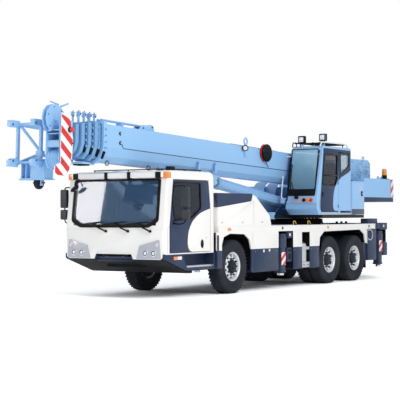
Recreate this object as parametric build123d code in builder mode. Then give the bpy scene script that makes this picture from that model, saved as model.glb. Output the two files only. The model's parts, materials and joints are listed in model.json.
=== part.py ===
"""Three-axle truck crane: carrier with a full-width cab, turntable, operator's cab and a five-section boom.

Millimetres, +X forward, +Y to the left, +Z up. The origin is on the ground, under the middle of the
crane's length and width.
"""

import os
from math import cos, radians, sin

from build123d import *

os.makedirs("parts", exist_ok=True)

# --- Driving dimensions -----------------------------------------------------------------------
# Places along X are measured from the front axle and moved by AXLE_1 into the crane's own frame.
AXLE_1 = 1765.8
AXLE_2 = AXLE_1 - 4280.0
AXLE_3 = AXLE_2 - 1320.0
WHEEL_R = 550.0
TYRE_W = 300.0
RIM_R = 296.0
FRONT_WHEEL_Y = 1050.0
REAR_OUTER_Y = 1065.0
REAR_INNER_Y = 730.0
KINGPIN_Y = 900.0
KINGPIN_R = 30.0
PIN_FIT = 0.05

BODY_HALF_W = 1240.0
DECK_TOP = 1370.0
DECK_BOTTOM = 1250.0
SKIRT_BOTTOM = 400.0
FRAME_HALF_W = 430.0
FRAME_LOW = 780.0
FRAME_HIGH = 1240.0
RAIL_Y = 380.0

FRONT_ARCH_FRONT = AXLE_1 + 640.0
FRONT_ARCH_REAR = AXLE_1 - 700.0
REAR_ARCH_FRONT = AXLE_2 + 590.0
REAR_ARCH_REAR = AXLE_3 - 590.0
FRONT_LEG_X = AXLE_1 - 2120.0
REAR_LEG_X = AXLE_1 - 7125.0
LEG_BAY_HALF = 330.0
TAIL_X = AXLE_1 - 7410.0
DECK_REAR = AXLE_1 - 6925.0
REAR_BOX_FRONT = AXLE_1 - 6240.0
REAR_BOX_REAR = AXLE_1 - 6740.0
CANISTER_X = AXLE_1 - 3040.0

CAB_REAR = AXLE_1 + 715.0
CAB_FRONT = AXLE_1 + 2450.0
CAB_HALF_W = 1190.0
CAB_FLOOR = 860.0
CAB_ROOF = 2460.0
CAB_WALL = 50.0
MIRROR_X = AXLE_1 + 2115.0
CAB_HINGE_X = AXLE_1 + 2300.0

HOOD_FRONT = AXLE_1 + 640.0
HOOD_REAR = AXLE_1 - 1510.0
HOOD_TOP = 2050.0

SLEW_X = AXLE_1 - 4750.0
RING_R = 640.0
TABLE_LOW = 1520.0
TABLE_HIGH = 1600.0
TABLE_HALF_W = 440.0

OPCAB_FRONT = AXLE_1 - 3900.0
OPCAB_REAR = AXLE_1 - 5440.0
OPCAB_IN = 385.0
OPCAB_OUT = 1200.0
OPCAB_TOP = 3200.0
OPCAB_WALL = 45.0
OPDOOR_REAR = AXLE_1 - 4750.0
WINCH_IN = 600.0
WINCH_OUT = 640.0

PIVOT_X = AXLE_1 - 6050.0
PIVOT_Z = 2620.0
BOOM_ANGLE = 2.2
FOOT_X = AXLE_1 - 4950.0
FOOT_Z = 1780.0
LUFF_EYE_S = 5150.0
LUFF_EYE_N = -470.0

# Tubes that slide in each other: half width, half height, rear end, front end along the boom.
BOOM_SECTIONS = (
    (300.0, 350.0, -250.0, 9280.0),
    (272.0, 322.0, 500.0, 9420.0),
    (244.0, 294.0, 650.0, 9580.0),
    (216.0, 266.0, 800.0, 9740.0),
    (188.0, 238.0, 950.0, 9880.0),
)
BOOM_WALL = 12.0
COLLAR_OUT = 42.0
COLLAR_LEN = 90.0
HEAD_S = 9970.0
GAP = 10.0

BOOM_DIR = (cos(radians(BOOM_ANGLE)), 0, sin(radians(BOOM_ANGLE)))
BOOM_UP = (-sin(radians(BOOM_ANGLE)), 0, cos(radians(BOOM_ANGLE)))


# --- Helpers that work on the part being built -------------------------------------------------
def slab(x_low, x_high, y_low, y_high, z_low, z_high, mode=Mode.ADD):
    """A box between two corners."""
    centre = ((x_low + x_high) / 2, (y_low + y_high) / 2, (z_low + z_high) / 2)
    with Locations(centre):
        Box(x_high - x_low, y_high - y_low, z_high - z_low, mode=mode)


def side_profile(points, y_low, y_high, mode=Mode.ADD):
    """A plate whose outline is given in X and Z."""
    with BuildSketch(Plane.XZ.offset(-y_high)) as outline:
        with BuildLine():
            Polyline(*points, close=True)
        make_face()
    extrude(outline.sketch, amount=y_high - y_low, mode=mode)


def boom_point(along, up=0.0, y=0.0):
    """The place of a point given along the boom from its pivot and up from its middle line."""
    x = PIVOT_X + along * BOOM_DIR[0] + up * BOOM_UP[0]
    z = PIVOT_Z + along * BOOM_DIR[2] + up * BOOM_UP[2]
    return (x, y, z)


def boom_section_plane(along):
    """Across the boom: local X to the left, local Y up, normal towards the head."""
    return Plane(origin=boom_point(along), x_dir=(0, 1, 0), z_dir=BOOM_DIR)


def boom_side_profile(points, y_low, y_high, mode=Mode.ADD):
    """A plate whose outline is given along the boom and up from its middle line."""
    plane = Plane(origin=boom_point(0, 0, y_high), x_dir=BOOM_DIR, z_dir=(0, -1, 0))
    with BuildSketch(plane) as outline:
        with BuildLine():
            Polyline(*points, close=True)
        make_face()
    extrude(outline.sketch, amount=y_high - y_low, mode=mode)


def boom_disc(along, up, y_low, y_high, radius, mode=Mode.ADD):
    """A round piece with its axis across the boom."""
    plane = Plane(origin=boom_point(along, up, y_high), x_dir=BOOM_DIR, z_dir=(0, -1, 0))
    with BuildSketch(plane) as outline:
        Circle(radius)
    extrude(outline.sketch, amount=y_high - y_low, mode=mode)


def cross_disc(x, z, y_low, y_high, radius, mode=Mode.ADD):
    """A round piece with its axis across the crane."""
    plane = Plane(origin=(x, y_high, z), x_dir=(1, 0, 0), z_dir=(0, -1, 0))
    with BuildSketch(plane) as outline:
        Circle(radius)
    extrude(outline.sketch, amount=y_high - y_low, mode=mode)


def post(x, y, z_low, z_high, radius, mode=Mode.ADD):
    """An upright round bar."""
    with BuildSketch(Plane.XY.offset(z_low)) as outline:
        with Locations((x, y)):
            Circle(radius)
    extrude(outline.sketch, amount=z_high - z_low, mode=mode)


def boom_outline(half_w, half_h):
    """The section of a boom tube: flat top, upright sides and a folded belly."""
    k = half_h / 350.0
    return (
        (half_w, half_h),
        (half_w, -half_h + 270.0 * k),
        (half_w * 0.8, -half_h + 100.0 * k),
        (half_w * 0.45, -half_h),
        (-half_w * 0.45, -half_h),
        (-half_w * 0.8, -half_h + 100.0 * k),
        (-half_w, -half_h + 270.0 * k),
        (-half_w, half_h),
    )


def boom_prism(half_w, half_h, start, end, mode=Mode.ADD):
    """A length of boom with that outline."""
    with BuildSketch(boom_section_plane(start)) as outline:
        with BuildLine():
            Polyline(*boom_outline(half_w, half_h), close=True)
        make_face()
    extrude(outline.sketch, amount=end - start, mode=mode)


def save(part, label):
    """Names the piece and writes its file."""
    part.label = label
    export_step(part, f"parts/{label}.step")


# --- Carrier -----------------------------------------------------------------------------------
LEG_BAYS = (("front", FRONT_LEG_X), ("rear", REAR_LEG_X))
BEAM_W = 190.0
BEAM_H = 200.0
BEAM_Z = 1010.0
BEAM_OFFSET = 105.0
with BuildPart() as chassis_frame:
    slab(TAIL_X + 40, AXLE_1 - 560, -FRAME_HALF_W, FRAME_HALF_W, FRAME_LOW, FRAME_HIGH)
    for rail_y in (RAIL_Y, -RAIL_Y):
        slab(AXLE_1 - 600, AXLE_1 + 700, rail_y - 50, rail_y + 50, FRAME_LOW, FRAME_HIGH)
        slab(AXLE_1 + 650, AXLE_1 + 2100, rail_y - 50, rail_y + 50, 600, CAB_FLOOR - 10)
    slab(AXLE_1 + 1980, AXLE_1 + 2100, -RAIL_Y, RAIL_Y, 600, CAB_FLOOR - 10)
    for bay_name, bay_x in LEG_BAYS:
        slab(bay_x - 280, bay_x + 280, -1090, 1090, 860, 1160)
        for offset in (BEAM_OFFSET, -BEAM_OFFSET):
            slab(
                bay_x + offset - BEAM_W / 2 - GAP / 2,
                bay_x + offset + BEAM_W / 2 + GAP / 2,
                -1091,
                1091,
                BEAM_Z - BEAM_H / 2 - GAP / 2,
                BEAM_Z + BEAM_H / 2 + GAP / 2,
                mode=Mode.SUBTRACT,
            )
    post(SLEW_X, 0, FRAME_HIGH - 10, TABLE_LOW - 8, RING_R)
    slab(TAIL_X, AXLE_1 - 6960, -1235, 1235, 1220, 1385)
    slab(TAIL_X, TAIL_X + 40, -1200, 1200, 570, 1240)
    slab(TAIL_X, AXLE_1 - 7180, 1000, 1235, 570, 890)
save(chassis_frame.part, "chassis_frame")

with BuildPart() as deck:
    slab(DECK_REAR, FRONT_ARCH_FRONT, -BODY_HALF_W, BODY_HALF_W, DECK_BOTTOM, DECK_TOP)
    post(SLEW_X, 0, DECK_BOTTOM - 1, DECK_TOP + 1, RING_R + 6, mode=Mode.SUBTRACT)
save(deck.part, "deck")

with BuildPart() as side_boxes:
    for side in (1, -1):
        inner = 620.0
        y_low, y_high = sorted((side * inner, side * BODY_HALF_W))
        slab(FRONT_LEG_X + LEG_BAY_HALF, FRONT_ARCH_REAR, y_low, y_high, SKIRT_BOTTOM, DECK_BOTTOM)
        slab(REAR_ARCH_FRONT, FRONT_LEG_X - LEG_BAY_HALF, y_low, y_high, SKIRT_BOTTOM, DECK_BOTTOM)
        slab(REAR_BOX_REAR, REAR_BOX_FRONT, y_low, y_high, 470, DECK_BOTTOM)
        slot_low, slot_high = sorted((side * 940, side * (BODY_HALF_W + 1)))
        slot = (CANISTER_X - 185, CANISTER_X + 185, slot_low, slot_high, SKIRT_BOTTOM - 1, 1215)
        slab(*slot, mode=Mode.SUBTRACT)
save(side_boxes.part, "side_boxes")

with BuildPart() as canisters:
    for side in (1, -1):
        post(CANISTER_X, side * 1090, 430, 1000, 130)
        slab(CANISTER_X - 180, CANISTER_X + 180, side * 1090 - 60, side * 1090 + 60, 1000, 1040)
        post(CANISTER_X, side * 1090, 1040, 1100, 50)
save(canisters.part, "canisters")

with BuildPart() as engine_hood:
    hood_outline = (
        (HOOD_FRONT, DECK_TOP),
        (HOOD_FRONT, HOOD_TOP - 60),
        (HOOD_FRONT - 80, HOOD_TOP - 10),
        (AXLE_1 - 680, HOOD_TOP),
        (AXLE_1 - 860, HOOD_TOP - 50),
        (AXLE_1 - 1080, 1840),
        (AXLE_1 - 1440, 1600),
        (HOOD_REAR, DECK_TOP),
    )
    side_profile(hood_outline, -BODY_HALF_W + 5, BODY_HALF_W - 5)
    slab(HOOD_REAR + 460, HOOD_FRONT - 60, -1060, 1060, DECK_TOP - 1, 1760, mode=Mode.SUBTRACT)
save(engine_hood.part, "engine_hood")

with BuildPart() as engine_block:
    slab(AXLE_1 - 480, AXLE_1 + 560, -300, 300, 900, DECK_BOTTOM - 10)
    slab(AXLE_1 - 480, AXLE_1 + 560, -300, 300, DECK_BOTTOM - 10, DECK_BOTTOM)
save(engine_block.part, "engine_block")

# --- Driver's cab ------------------------------------------------------------------------------
DOOR_T = 45.0
DOORWAY = (
    (AXLE_1 + 2300, CAB_FLOOR + 20),
    (AXLE_1 + 2300, 1382),
    (AXLE_1 + 2174, 2291),
    (AXLE_1 + 927, 2291),
    (AXLE_1 + 858, 1741),
    (AXLE_1 + 858, CAB_FLOOR + 20),
)
DOOR_LEAF = (
    (AXLE_1 + 2283, CAB_FLOOR + 28),
    (AXLE_1 + 2292, 1380),
    (AXLE_1 + 2165, 2283),
    (AXLE_1 + 935, 2283),
    (AXLE_1 + 866, 1740),
    (AXLE_1 + 866, CAB_FLOOR + 28),
)
DOOR_WINDOW = (
    (AXLE_1 + 2125, 1505),
    (AXLE_1 + 2200, 1850),
    (AXLE_1 + 2135, 2235),
    (AXLE_1 + 1220, 2235),
    (AXLE_1 + 1200, 1730),
    (AXLE_1 + 1550, 1535),
)
with BuildPart() as driver_cab_shell:
    cab_outline = (
        (CAB_REAR, CAB_FLOOR),
        (CAB_FRONT, CAB_FLOOR),
        (CAB_FRONT + 20, 1350),
        (CAB_FRONT - 100, 2300),
        (CAB_FRONT - 240, CAB_ROOF),
        (CAB_REAR + 120, CAB_ROOF),
        (CAB_REAR + 35, CAB_ROOF - 35),
        (CAB_REAR, CAB_ROOF - 120),
    )
    inner_outline = (
        (CAB_REAR + CAB_WALL, CAB_FLOOR + CAB_WALL),
        (CAB_FRONT - 90, CAB_FLOOR + CAB_WALL),
        (CAB_FRONT - 70, 1350),
        (CAB_FRONT - 180, 2290),
        (CAB_FRONT - 260, CAB_ROOF - CAB_WALL),
        (CAB_REAR + 120, CAB_ROOF - CAB_WALL),
        (CAB_REAR + CAB_WALL, CAB_ROOF - 120),
    )
    side_profile(cab_outline, -CAB_HALF_W, CAB_HALF_W)
    inner_half = CAB_HALF_W - CAB_WALL
    side_profile(inner_outline, -inner_half, inner_half, mode=Mode.SUBTRACT)
    slab(CAB_FRONT - 300, CAB_FRONT + 60, -990, 990, 1410, 2270, mode=Mode.SUBTRACT)
    side_profile(DOORWAY, inner_half - 1, CAB_HALF_W + 1, mode=Mode.SUBTRACT)
    side_profile(DOORWAY, -CAB_HALF_W - 1, -inner_half + 1, mode=Mode.SUBTRACT)
save(driver_cab_shell.part, "driver_cab_shell")

with BuildPart() as driver_cab_glass:
    glass_outline = (
        (CAB_FRONT - 5, 1412),
        (CAB_FRONT - 108, 2268),
        (CAB_FRONT - 116, 2268),
        (CAB_FRONT - 13, 1412),
    )
    side_profile(glass_outline, -988, 988)
save(driver_cab_glass.part, "driver_cab_glass")

with BuildPart() as cab_bumper:
    bumper_outline = (
        (CAB_REAR - 60, CAB_FLOOR),
        (CAB_REAR - 60, 535),
        (AXLE_1 + 1720, 535),
        (CAB_FRONT + 25, 770),
        (CAB_FRONT + 25, CAB_FLOOR),
    )
    side_profile(bumper_outline, -CAB_HALF_W, CAB_HALF_W)
    slab(CAB_REAR - 61, AXLE_1 + 2115, -900, 900, 500, CAB_FLOOR + 1, mode=Mode.SUBTRACT)
    step_well = (
        (CAB_REAR + 35, CAB_FLOOR - 2),
        (CAB_REAR + 35, 618),
        (AXLE_1 + 1715, 618),
        (AXLE_1 + 1860, 835),
    )
    for side in (1, -1):
        y_low, y_high = sorted((side * 960, side * (CAB_HALF_W + 1)))
        side_profile(step_well, y_low, y_high, mode=Mode.SUBTRACT)
save(cab_bumper.part, "cab_bumper")

with BuildPart() as headlamps:
    for side in (1, -1):
        y_low, y_high = sorted((side * 560, side * 1080))
        slab(CAB_FRONT + 26, CAB_FRONT + 50, y_low, y_high, 770, 1090)
save(headlamps.part, "headlamps")

with BuildPart() as driver_cab_interior:
    slab(CAB_REAR + 120, CAB_REAR + 600, 330, 850, CAB_FLOOR + 60, 1330)
    slab(CAB_REAR + 120, CAB_REAR + 240, 330, 850, 1330, 1950)
    slab(CAB_REAR + 120, CAB_REAR + 600, -850, -330, CAB_FLOOR + 60, 1330)
    slab(CAB_REAR + 120, CAB_REAR + 240, -850, -330, 1330, 1950)
    slab(CAB_FRONT - 400, CAB_FRONT - 160, -1100, 1100, CAB_FLOOR + 60, 1380)
save(driver_cab_interior.part, "driver_cab_interior")

for door_name, side in (("left", 1), ("right", -1)):
    with BuildPart() as driver_door:
        y_low, y_high = sorted((side * (CAB_HALF_W - DOOR_T), side * CAB_HALF_W))
        side_profile(DOOR_LEAF, y_low, y_high)
        side_profile(DOOR_WINDOW, y_low - 1, y_high + 1, mode=Mode.SUBTRACT)
    save(driver_door.part, f"driver_door_{door_name}")

for door_name, side in (("left", 1), ("right", -1)):
    with BuildPart() as mirror:
        y_low, y_high = sorted((side * 1360, side * 1560))
        arm_low, arm_high = sorted((side * (CAB_HALF_W + 2), side * 1460))
        for z_low, z_high in ((1540, 1740), (1755, 2080)):
            slab(MIRROR_X, MIRROR_X + 90, y_low, y_high, z_low, z_high)
        slab(MIRROR_X + 30, MIRROR_X + 60, side * 1460 - 15, side * 1460 + 15, 1410, 2150)
        for z in (1410, 2120):
            slab(MIRROR_X + 30, MIRROR_X + 60, arm_low, arm_high, z, z + 30)
    save(mirror.part, f"mirror_{door_name}")

# --- Axles, knuckles and wheels ----------------------------------------------------------------
with BuildPart() as front_axle:
    cross_disc(AXLE_1, WHEEL_R, -750, 750, 70)
    for side in (1, -1):
        slab(AXLE_1 - 50, AXLE_1 + 50, side * 380 - 45, side * 380 + 45, WHEEL_R, FRAME_LOW)
        y_low, y_high = sorted((side * 740, side * 780))
        slab(AXLE_1 - 70, AXLE_1 + 70, y_low, y_high, WHEEL_R - 155, WHEEL_R + 155)
        y_low, y_high = sorted((side * 760, side * 940))
        for z_low in (WHEEL_R - 155, WHEEL_R + 125):
            slab(AXLE_1 - 60, AXLE_1 + 60, y_low, y_high, z_low, z_low + 30)
        post(AXLE_1, side * KINGPIN_Y, WHEEL_R - 150, WHEEL_R + 150, KINGPIN_R)
save(front_axle.part, "front_axle")

with BuildPart() as rear_axles:
    for axle_x in (AXLE_2, AXLE_3):
        cross_disc(axle_x, WHEEL_R, -560, 560, 90)
        with Locations((axle_x, 0, WHEEL_R)):
            Sphere(210)
        for side in (1, -1):
            slab(axle_x - 60, axle_x + 60, side * 380 - 45, side * 380 + 45, WHEEL_R, FRAME_LOW)
save(rear_axles.part, "rear_axles")

for wheel_name, side in (("left", 1), ("right", -1)):
    with BuildPart() as knuckle:
        post(AXLE_1, side * KINGPIN_Y, WHEEL_R - 118, WHEEL_R + 118, 58)
        y_low, y_high = sorted((side * 900, side * 935))
        slab(AXLE_1 - 50, AXLE_1 + 50, y_low, y_high, WHEEL_R - 80, WHEEL_R + 80)
        y_low, y_high = sorted((side * 930, side * 960))
        cross_disc(AXLE_1, WHEEL_R, y_low, y_high, 110)
        post(
            AXLE_1,
            side * KINGPIN_Y,
            WHEEL_R - 119,
            WHEEL_R + 119,
            KINGPIN_R + PIN_FIT,
            mode=Mode.SUBTRACT,
        )
        stub_low, stub_high = sorted((side * 960, side * 1120))
        cross_disc(AXLE_1, WHEEL_R, stub_low, stub_high, 60)
    save(knuckle.part, f"knuckle_{wheel_name}")


def tyre(axle_x, wheel_y):
    """A tyre with rounded shoulders, made by turning its half section."""
    half = TYRE_W / 2
    section = Plane(origin=(axle_x, wheel_y, WHEEL_R), x_dir=(0, 1, 0), z_dir=(1, 0, 0))
    with BuildSketch(section) as outline:
        with BuildLine():
            Polyline(
                (-half + 25, RIM_R),
                (-half, RIM_R + 60),
                (-half, WHEEL_R - 60),
                (-half + 40, WHEEL_R),
                (half - 40, WHEEL_R),
                (half, WHEEL_R - 60),
                (half, RIM_R + 60),
                (half - 25, RIM_R),
                close=True,
            )
        make_face()
    revolve(outline.sketch, axis=Axis((axle_x, wheel_y, WHEEL_R), (0, 1, 0)))


for wheel_name, side in (("left", 1), ("right", -1)):
    with BuildPart() as front_tyre:
        tyre(AXLE_1, side * FRONT_WHEEL_Y)
    save(front_tyre.part, f"front_tyre_{wheel_name}")
    with BuildPart() as front_rim:
        y_low, y_high = sorted((side * (FRONT_WHEEL_Y - 120), side * (FRONT_WHEEL_Y + 120)))
        cross_disc(AXLE_1, WHEEL_R, y_low, y_high, RIM_R)
        cross_disc(AXLE_1, WHEEL_R, y_low, y_high, RIM_R - 20, mode=Mode.SUBTRACT)
        disc_low, disc_high = sorted((side * (FRONT_WHEEL_Y + 20), side * (FRONT_WHEEL_Y + 40)))
        cross_disc(AXLE_1, WHEEL_R, disc_low, disc_high, RIM_R - 10)
        hub_low, hub_high = sorted((side * (FRONT_WHEEL_Y - 80), side * (FRONT_WHEEL_Y + 110)))
        cross_disc(AXLE_1, WHEEL_R, hub_low, hub_high, 120)
        bore_low, bore_high = sorted((side * (FRONT_WHEEL_Y - 90), side * (FRONT_WHEEL_Y + 80)))
        cross_disc(AXLE_1, WHEEL_R, bore_low, bore_high, 60.08, mode=Mode.SUBTRACT)
    save(front_rim.part, f"front_rim_{wheel_name}")

REAR_WHEELS = (
    ("2_left", AXLE_2, 1),
    ("2_right", AXLE_2, -1),
    ("3_left", AXLE_3, 1),
    ("3_right", AXLE_3, -1),
)
for wheel_name, axle_x, side in REAR_WHEELS:
    with BuildPart() as rear_tyres:
        tyre(axle_x, side * REAR_OUTER_Y)
        tyre(axle_x, side * REAR_INNER_Y)
    save(rear_tyres.part, f"rear_tyres_{wheel_name}")
    with BuildPart() as rear_rims:
        y_low, y_high = sorted((side * (REAR_INNER_Y - 120), side * (REAR_OUTER_Y + 120)))
        cross_disc(axle_x, WHEEL_R, y_low, y_high, RIM_R)
        cross_disc(axle_x, WHEEL_R, y_low, y_high, RIM_R - 20, mode=Mode.SUBTRACT)
        disc_low, disc_high = sorted((side * 880, side * 915))
        cross_disc(axle_x, WHEEL_R, disc_low, disc_high, RIM_R - 10)
        hub_low, hub_high = sorted((side * 580, side * (REAR_OUTER_Y + 90)))
        cross_disc(axle_x, WHEEL_R, hub_low, hub_high, 130)
    save(rear_rims.part, f"rear_rims_{wheel_name}")

# --- Outriggers --------------------------------------------------------------------------------
LEG_PIPE_R = 70.0
OUTRIGGERS = (
    ("front_left", FRONT_LEG_X, 1),
    ("front_right", FRONT_LEG_X, -1),
    ("rear_left", REAR_LEG_X, 1),
    ("rear_right", REAR_LEG_X, -1),
)
for leg_name, leg_x, side in OUTRIGGERS:
    beam_x = leg_x + side * BEAM_OFFSET
    with BuildPart() as outrigger_beam:
        y_low, y_high = sorted((-side * 1060, side * 1130))
        beam_low, beam_high = BEAM_Z - BEAM_H / 2, BEAM_Z + BEAM_H / 2
        slab(beam_x - BEAM_W / 2, beam_x + BEAM_W / 2, y_low, y_high, beam_low, beam_high)
        y_low, y_high = sorted((side * 1100, side * 1235))
        slab(beam_x - 130, beam_x + 130, y_low, y_high, BEAM_Z - 120, BEAM_Z + 120)
        post(beam_x, side * 1160, 560, 1190, LEG_PIPE_R)
        post(beam_x, side * 1160, 550, 1180, 52, mode=Mode.SUBTRACT)
    save(outrigger_beam.part, f"outrigger_beam_{leg_name}")
    with BuildPart() as outrigger_jack:
        post(beam_x, side * 1160, 330, 1150, 45)
        post(beam_x, side * 1160, 290, 330, 75)
    save(outrigger_jack.part, f"outrigger_jack_{leg_name}")

# --- Turntable ---------------------------------------------------------------------------------
with BuildPart() as turntable_frame:
    post(SLEW_X, 0, TABLE_LOW, TABLE_HIGH, RING_R)
    slab(AXLE_1 - 7250, AXLE_1 - 3050, -TABLE_HALF_W, TABLE_HALF_W, TABLE_LOW, TABLE_HIGH)
    slab(AXLE_1 - 5460, AXLE_1 - 3930, TABLE_HALF_W, 1190, TABLE_LOW, TABLE_HIGH - 5)
    slab(AXLE_1 - 6150, AXLE_1 - 5460, TABLE_HALF_W, 1190, TABLE_LOW, TABLE_HIGH - 5)
    plate_outline = (
        (AXLE_1 - 4350, TABLE_HIGH - 2),
        (AXLE_1 - 5400, 2250),
        (AXLE_1 - 5800, 2780),
        (AXLE_1 - 6300, 2820),
        (AXLE_1 - 6430, 2760),
        (AXLE_1 - 6560, 2370),
        (AXLE_1 - 7620, 2370),
        (AXLE_1 - 7620, 2100),
        (AXLE_1 - 7250, TABLE_HIGH - 2),
    )
    winch_outline = (
        (AXLE_1 - 6540, 2200),
        (AXLE_1 - 6540, 2920),
        (AXLE_1 - 6600, 3000),
        (AXLE_1 - 7560, 3000),
        (AXLE_1 - 7690, 2900),
        (AXLE_1 - 7690, 2510),
        (AXLE_1 - 7625, 2510),
        (AXLE_1 - 7625, 2200),
    )
    for side in (1, -1):
        y_low, y_high = sorted((side * 330, side * 370))
        side_profile(plate_outline, y_low, y_high)
        y_low, y_high = sorted((side * 369, side * 420))
        cross_disc(PIVOT_X, PIVOT_Z, y_low, y_high, 120)
        y_low, y_high = sorted((side * WINCH_IN, side * WINCH_OUT))
        side_profile(winch_outline, y_low, y_high)
    slab(AXLE_1 - 7250, AXLE_1 - 6700, -340, 340, TABLE_HIGH - 5, 2200)
    slab(AXLE_1 - 7625, AXLE_1 - 6540, -WINCH_OUT, WINCH_OUT, 2200, 2380)
save(turntable_frame.part, "turntable_frame")

with BuildPart() as turntable_tank:
    slab(AXLE_1 - 6150, OPCAB_REAR - 20, 800, 1200, TABLE_HIGH, 2400)
    slab(AXLE_1 - 6100, AXLE_1 - 4000, -1190, -500, TABLE_HIGH, 2280)
save(turntable_tank.part, "turntable_tank")

with BuildPart() as counterweight:
    cw_outline = (
        (AXLE_1 - 6160, 1200),
        (AXLE_1 - 7100, 1200),
        (AXLE_1 - 7930, 1060),
        (AXLE_1 - 7930, -1060),
        (AXLE_1 - 7100, -1200),
        (AXLE_1 - 6160, -1200),
        (AXLE_1 - 6160, -940),
        (AXLE_1 - 7640, -940),
        (AXLE_1 - 7640, 940),
        (AXLE_1 - 6160, 940),
    )
    with BuildSketch(Plane.XY.offset(1920)):
        with BuildLine():
            Polyline(*cw_outline, close=True)
        make_face()
    extrude(amount=580)
    post(AXLE_1 - 7780, 900, 2499, 2600, 60)
    post(AXLE_1 - 7780, 900, 2600, 2770, 58)
save(counterweight.part, "counterweight")

# Work lamps on the roof: place along X and Y, and the height that their stand starts from.
WORK_LAMPS = ((OPCAB_FRONT - 40, 660.0, 3100.0), (OPCAB_FRONT - 270, 1090.0, 3165.0))
with BuildPart() as operator_cab_shell:
    opcab_outline = (
        (OPCAB_FRONT, TABLE_HIGH),
        (OPCAB_FRONT, 2100),
        (OPCAB_FRONT - 40, OPCAB_TOP - 90),
        (OPCAB_FRONT - 120, OPCAB_TOP),
        (OPCAB_REAR + 60, OPCAB_TOP),
        (OPCAB_REAR, OPCAB_TOP - 60),
        (OPCAB_REAR, TABLE_HIGH),
    )
    side_profile(opcab_outline, OPCAB_IN, OPCAB_OUT)
    slab(
        OPCAB_REAR + OPCAB_WALL,
        OPCAB_FRONT - 100,
        OPCAB_IN + OPCAB_WALL,
        OPCAB_OUT - OPCAB_WALL,
        TABLE_HIGH + OPCAB_WALL,
        OPCAB_TOP - OPCAB_WALL,
        mode=Mode.SUBTRACT,
    )
    out_low, out_high = OPCAB_OUT - 60, OPCAB_OUT + 10
    in_low, in_high = OPCAB_IN - 10, OPCAB_IN + 60
    window_top = OPCAB_TOP - 110
    for opening in (
        (OPCAB_FRONT - 150, OPCAB_FRONT + 10, in_high, out_low, 2140, window_top),
        (OPDOOR_REAR, OPCAB_FRONT - 90, out_low, out_high, 1660, OPCAB_TOP - 120),
        (OPCAB_REAR + 110, OPDOOR_REAR - 60, out_low, out_high, 2500, window_top),
        (OPCAB_REAR + 110, OPCAB_FRONT - 150, in_low, in_high, 2500, window_top),
    ):
        slab(*opening, mode=Mode.SUBTRACT)
    for lamp_x, lamp_y, stand_z in WORK_LAMPS:
        slab(lamp_x - 60, lamp_x + 30, lamp_y - 85, lamp_y + 85, OPCAB_TOP + 125, OPCAB_TOP + 285)
        slab(lamp_x - 50, lamp_x - 20, lamp_y - 25, lamp_y + 25, stand_z, OPCAB_TOP + 126)
save(operator_cab_shell.part, "operator_cab_shell")

with BuildPart() as operator_cab_glass:
    pane_top = OPCAB_TOP - 112
    slab(OPCAB_FRONT - 60, OPCAB_FRONT - 52, OPCAB_IN + 62, OPCAB_OUT - 62, 2142, pane_top)
    slab(OPCAB_REAR + 112, OPDOOR_REAR - 62, OPCAB_OUT - 30, OPCAB_OUT - 24, 2502, pane_top)
    slab(OPCAB_REAR + 112, OPCAB_FRONT - 152, OPCAB_IN + 24, OPCAB_IN + 30, 2502, pane_top)
save(operator_cab_glass.part, "operator_cab_glass")

with BuildPart() as operator_seat:
    slab(OPCAB_REAR + 300, OPCAB_REAR + 800, 560, 1040, TABLE_HIGH + OPCAB_WALL, 2150)
    slab(OPCAB_REAR + 260, OPCAB_REAR + 400, 560, 1040, 2150, 2850)
save(operator_seat.part, "operator_seat")

with BuildPart() as operator_door:
    slab(OPDOOR_REAR + 8, OPCAB_FRONT - 98, OPCAB_OUT - 40, OPCAB_OUT, 1668, OPCAB_TOP - 128)
    window = (OPDOOR_REAR + 70, OPCAB_FRONT - 160, OPCAB_OUT - 50, OPCAB_OUT + 10)
    slab(*window, 2350, OPCAB_TOP - 190, mode=Mode.SUBTRACT)
save(operator_door.part, "operator_door")

# Winch drums: place along X, height.
DRUMS = (("main", AXLE_1 - 6960, 2600.0), ("auxiliary", AXLE_1 - 7370, 2600.0))
for drum_name, drum_x, drum_z in DRUMS:
    with BuildPart() as drum:
        cross_disc(drum_x, drum_z, -570, 570, 130)
        for flange_y in (-570, 550):
            cross_disc(drum_x, drum_z, flange_y, flange_y + 20, 190)
    save(drum.part, f"winch_drum_{drum_name}")

# --- Boom --------------------------------------------------------------------------------------
for number, (half_w, half_h, start, end) in enumerate(BOOM_SECTIONS, start=1):
    with BuildPart() as boom_section:
        boom_prism(half_w, half_h, start, end)
        collar_start = end - (COLLAR_LEN if number == 1 else 0)
        boom_prism(half_w + COLLAR_OUT, half_h + COLLAR_OUT, collar_start, collar_start + COLLAR_LEN)
        bore_end = end + COLLAR_LEN + 1
        boom_prism(half_w - BOOM_WALL, half_h - BOOM_WALL, start + 10, bore_end, mode=Mode.SUBTRACT)
    label = "boom_base" if number == 1 else f"boom_section_{number}"
    save(boom_section.part, label)

with BuildPart() as boom_luff_bracket:
    eye_outline = (
        (LUFF_EYE_S - 250, -350),
        (LUFF_EYE_S + 350, -350),
        (LUFF_EYE_S + 90, LUFF_EYE_N - 90),
        (LUFF_EYE_S - 90, LUFF_EYE_N - 90),
    )
    for side in (1, -1):
        y_low, y_high = sorted((side * 90, side * 130))
        boom_side_profile(eye_outline, y_low, y_high)
        boom_disc(LUFF_EYE_S, LUFF_EYE_N, y_low - 1, y_high + 1, 50, mode=Mode.SUBTRACT)
save(boom_luff_bracket.part, "boom_luff_bracket")

HEAD_PLATE = (
    (HEAD_S, -440),
    (HEAD_S, 330),
    (HEAD_S + 330, 330),
    (HEAD_S + 370, 250),
    (HEAD_S + 370, -300),
    (HEAD_S + 375, -420),
    (HEAD_S + 310, -540),
    (HEAD_S + 190, -575),
    (HEAD_S + 70, -540),
)
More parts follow.
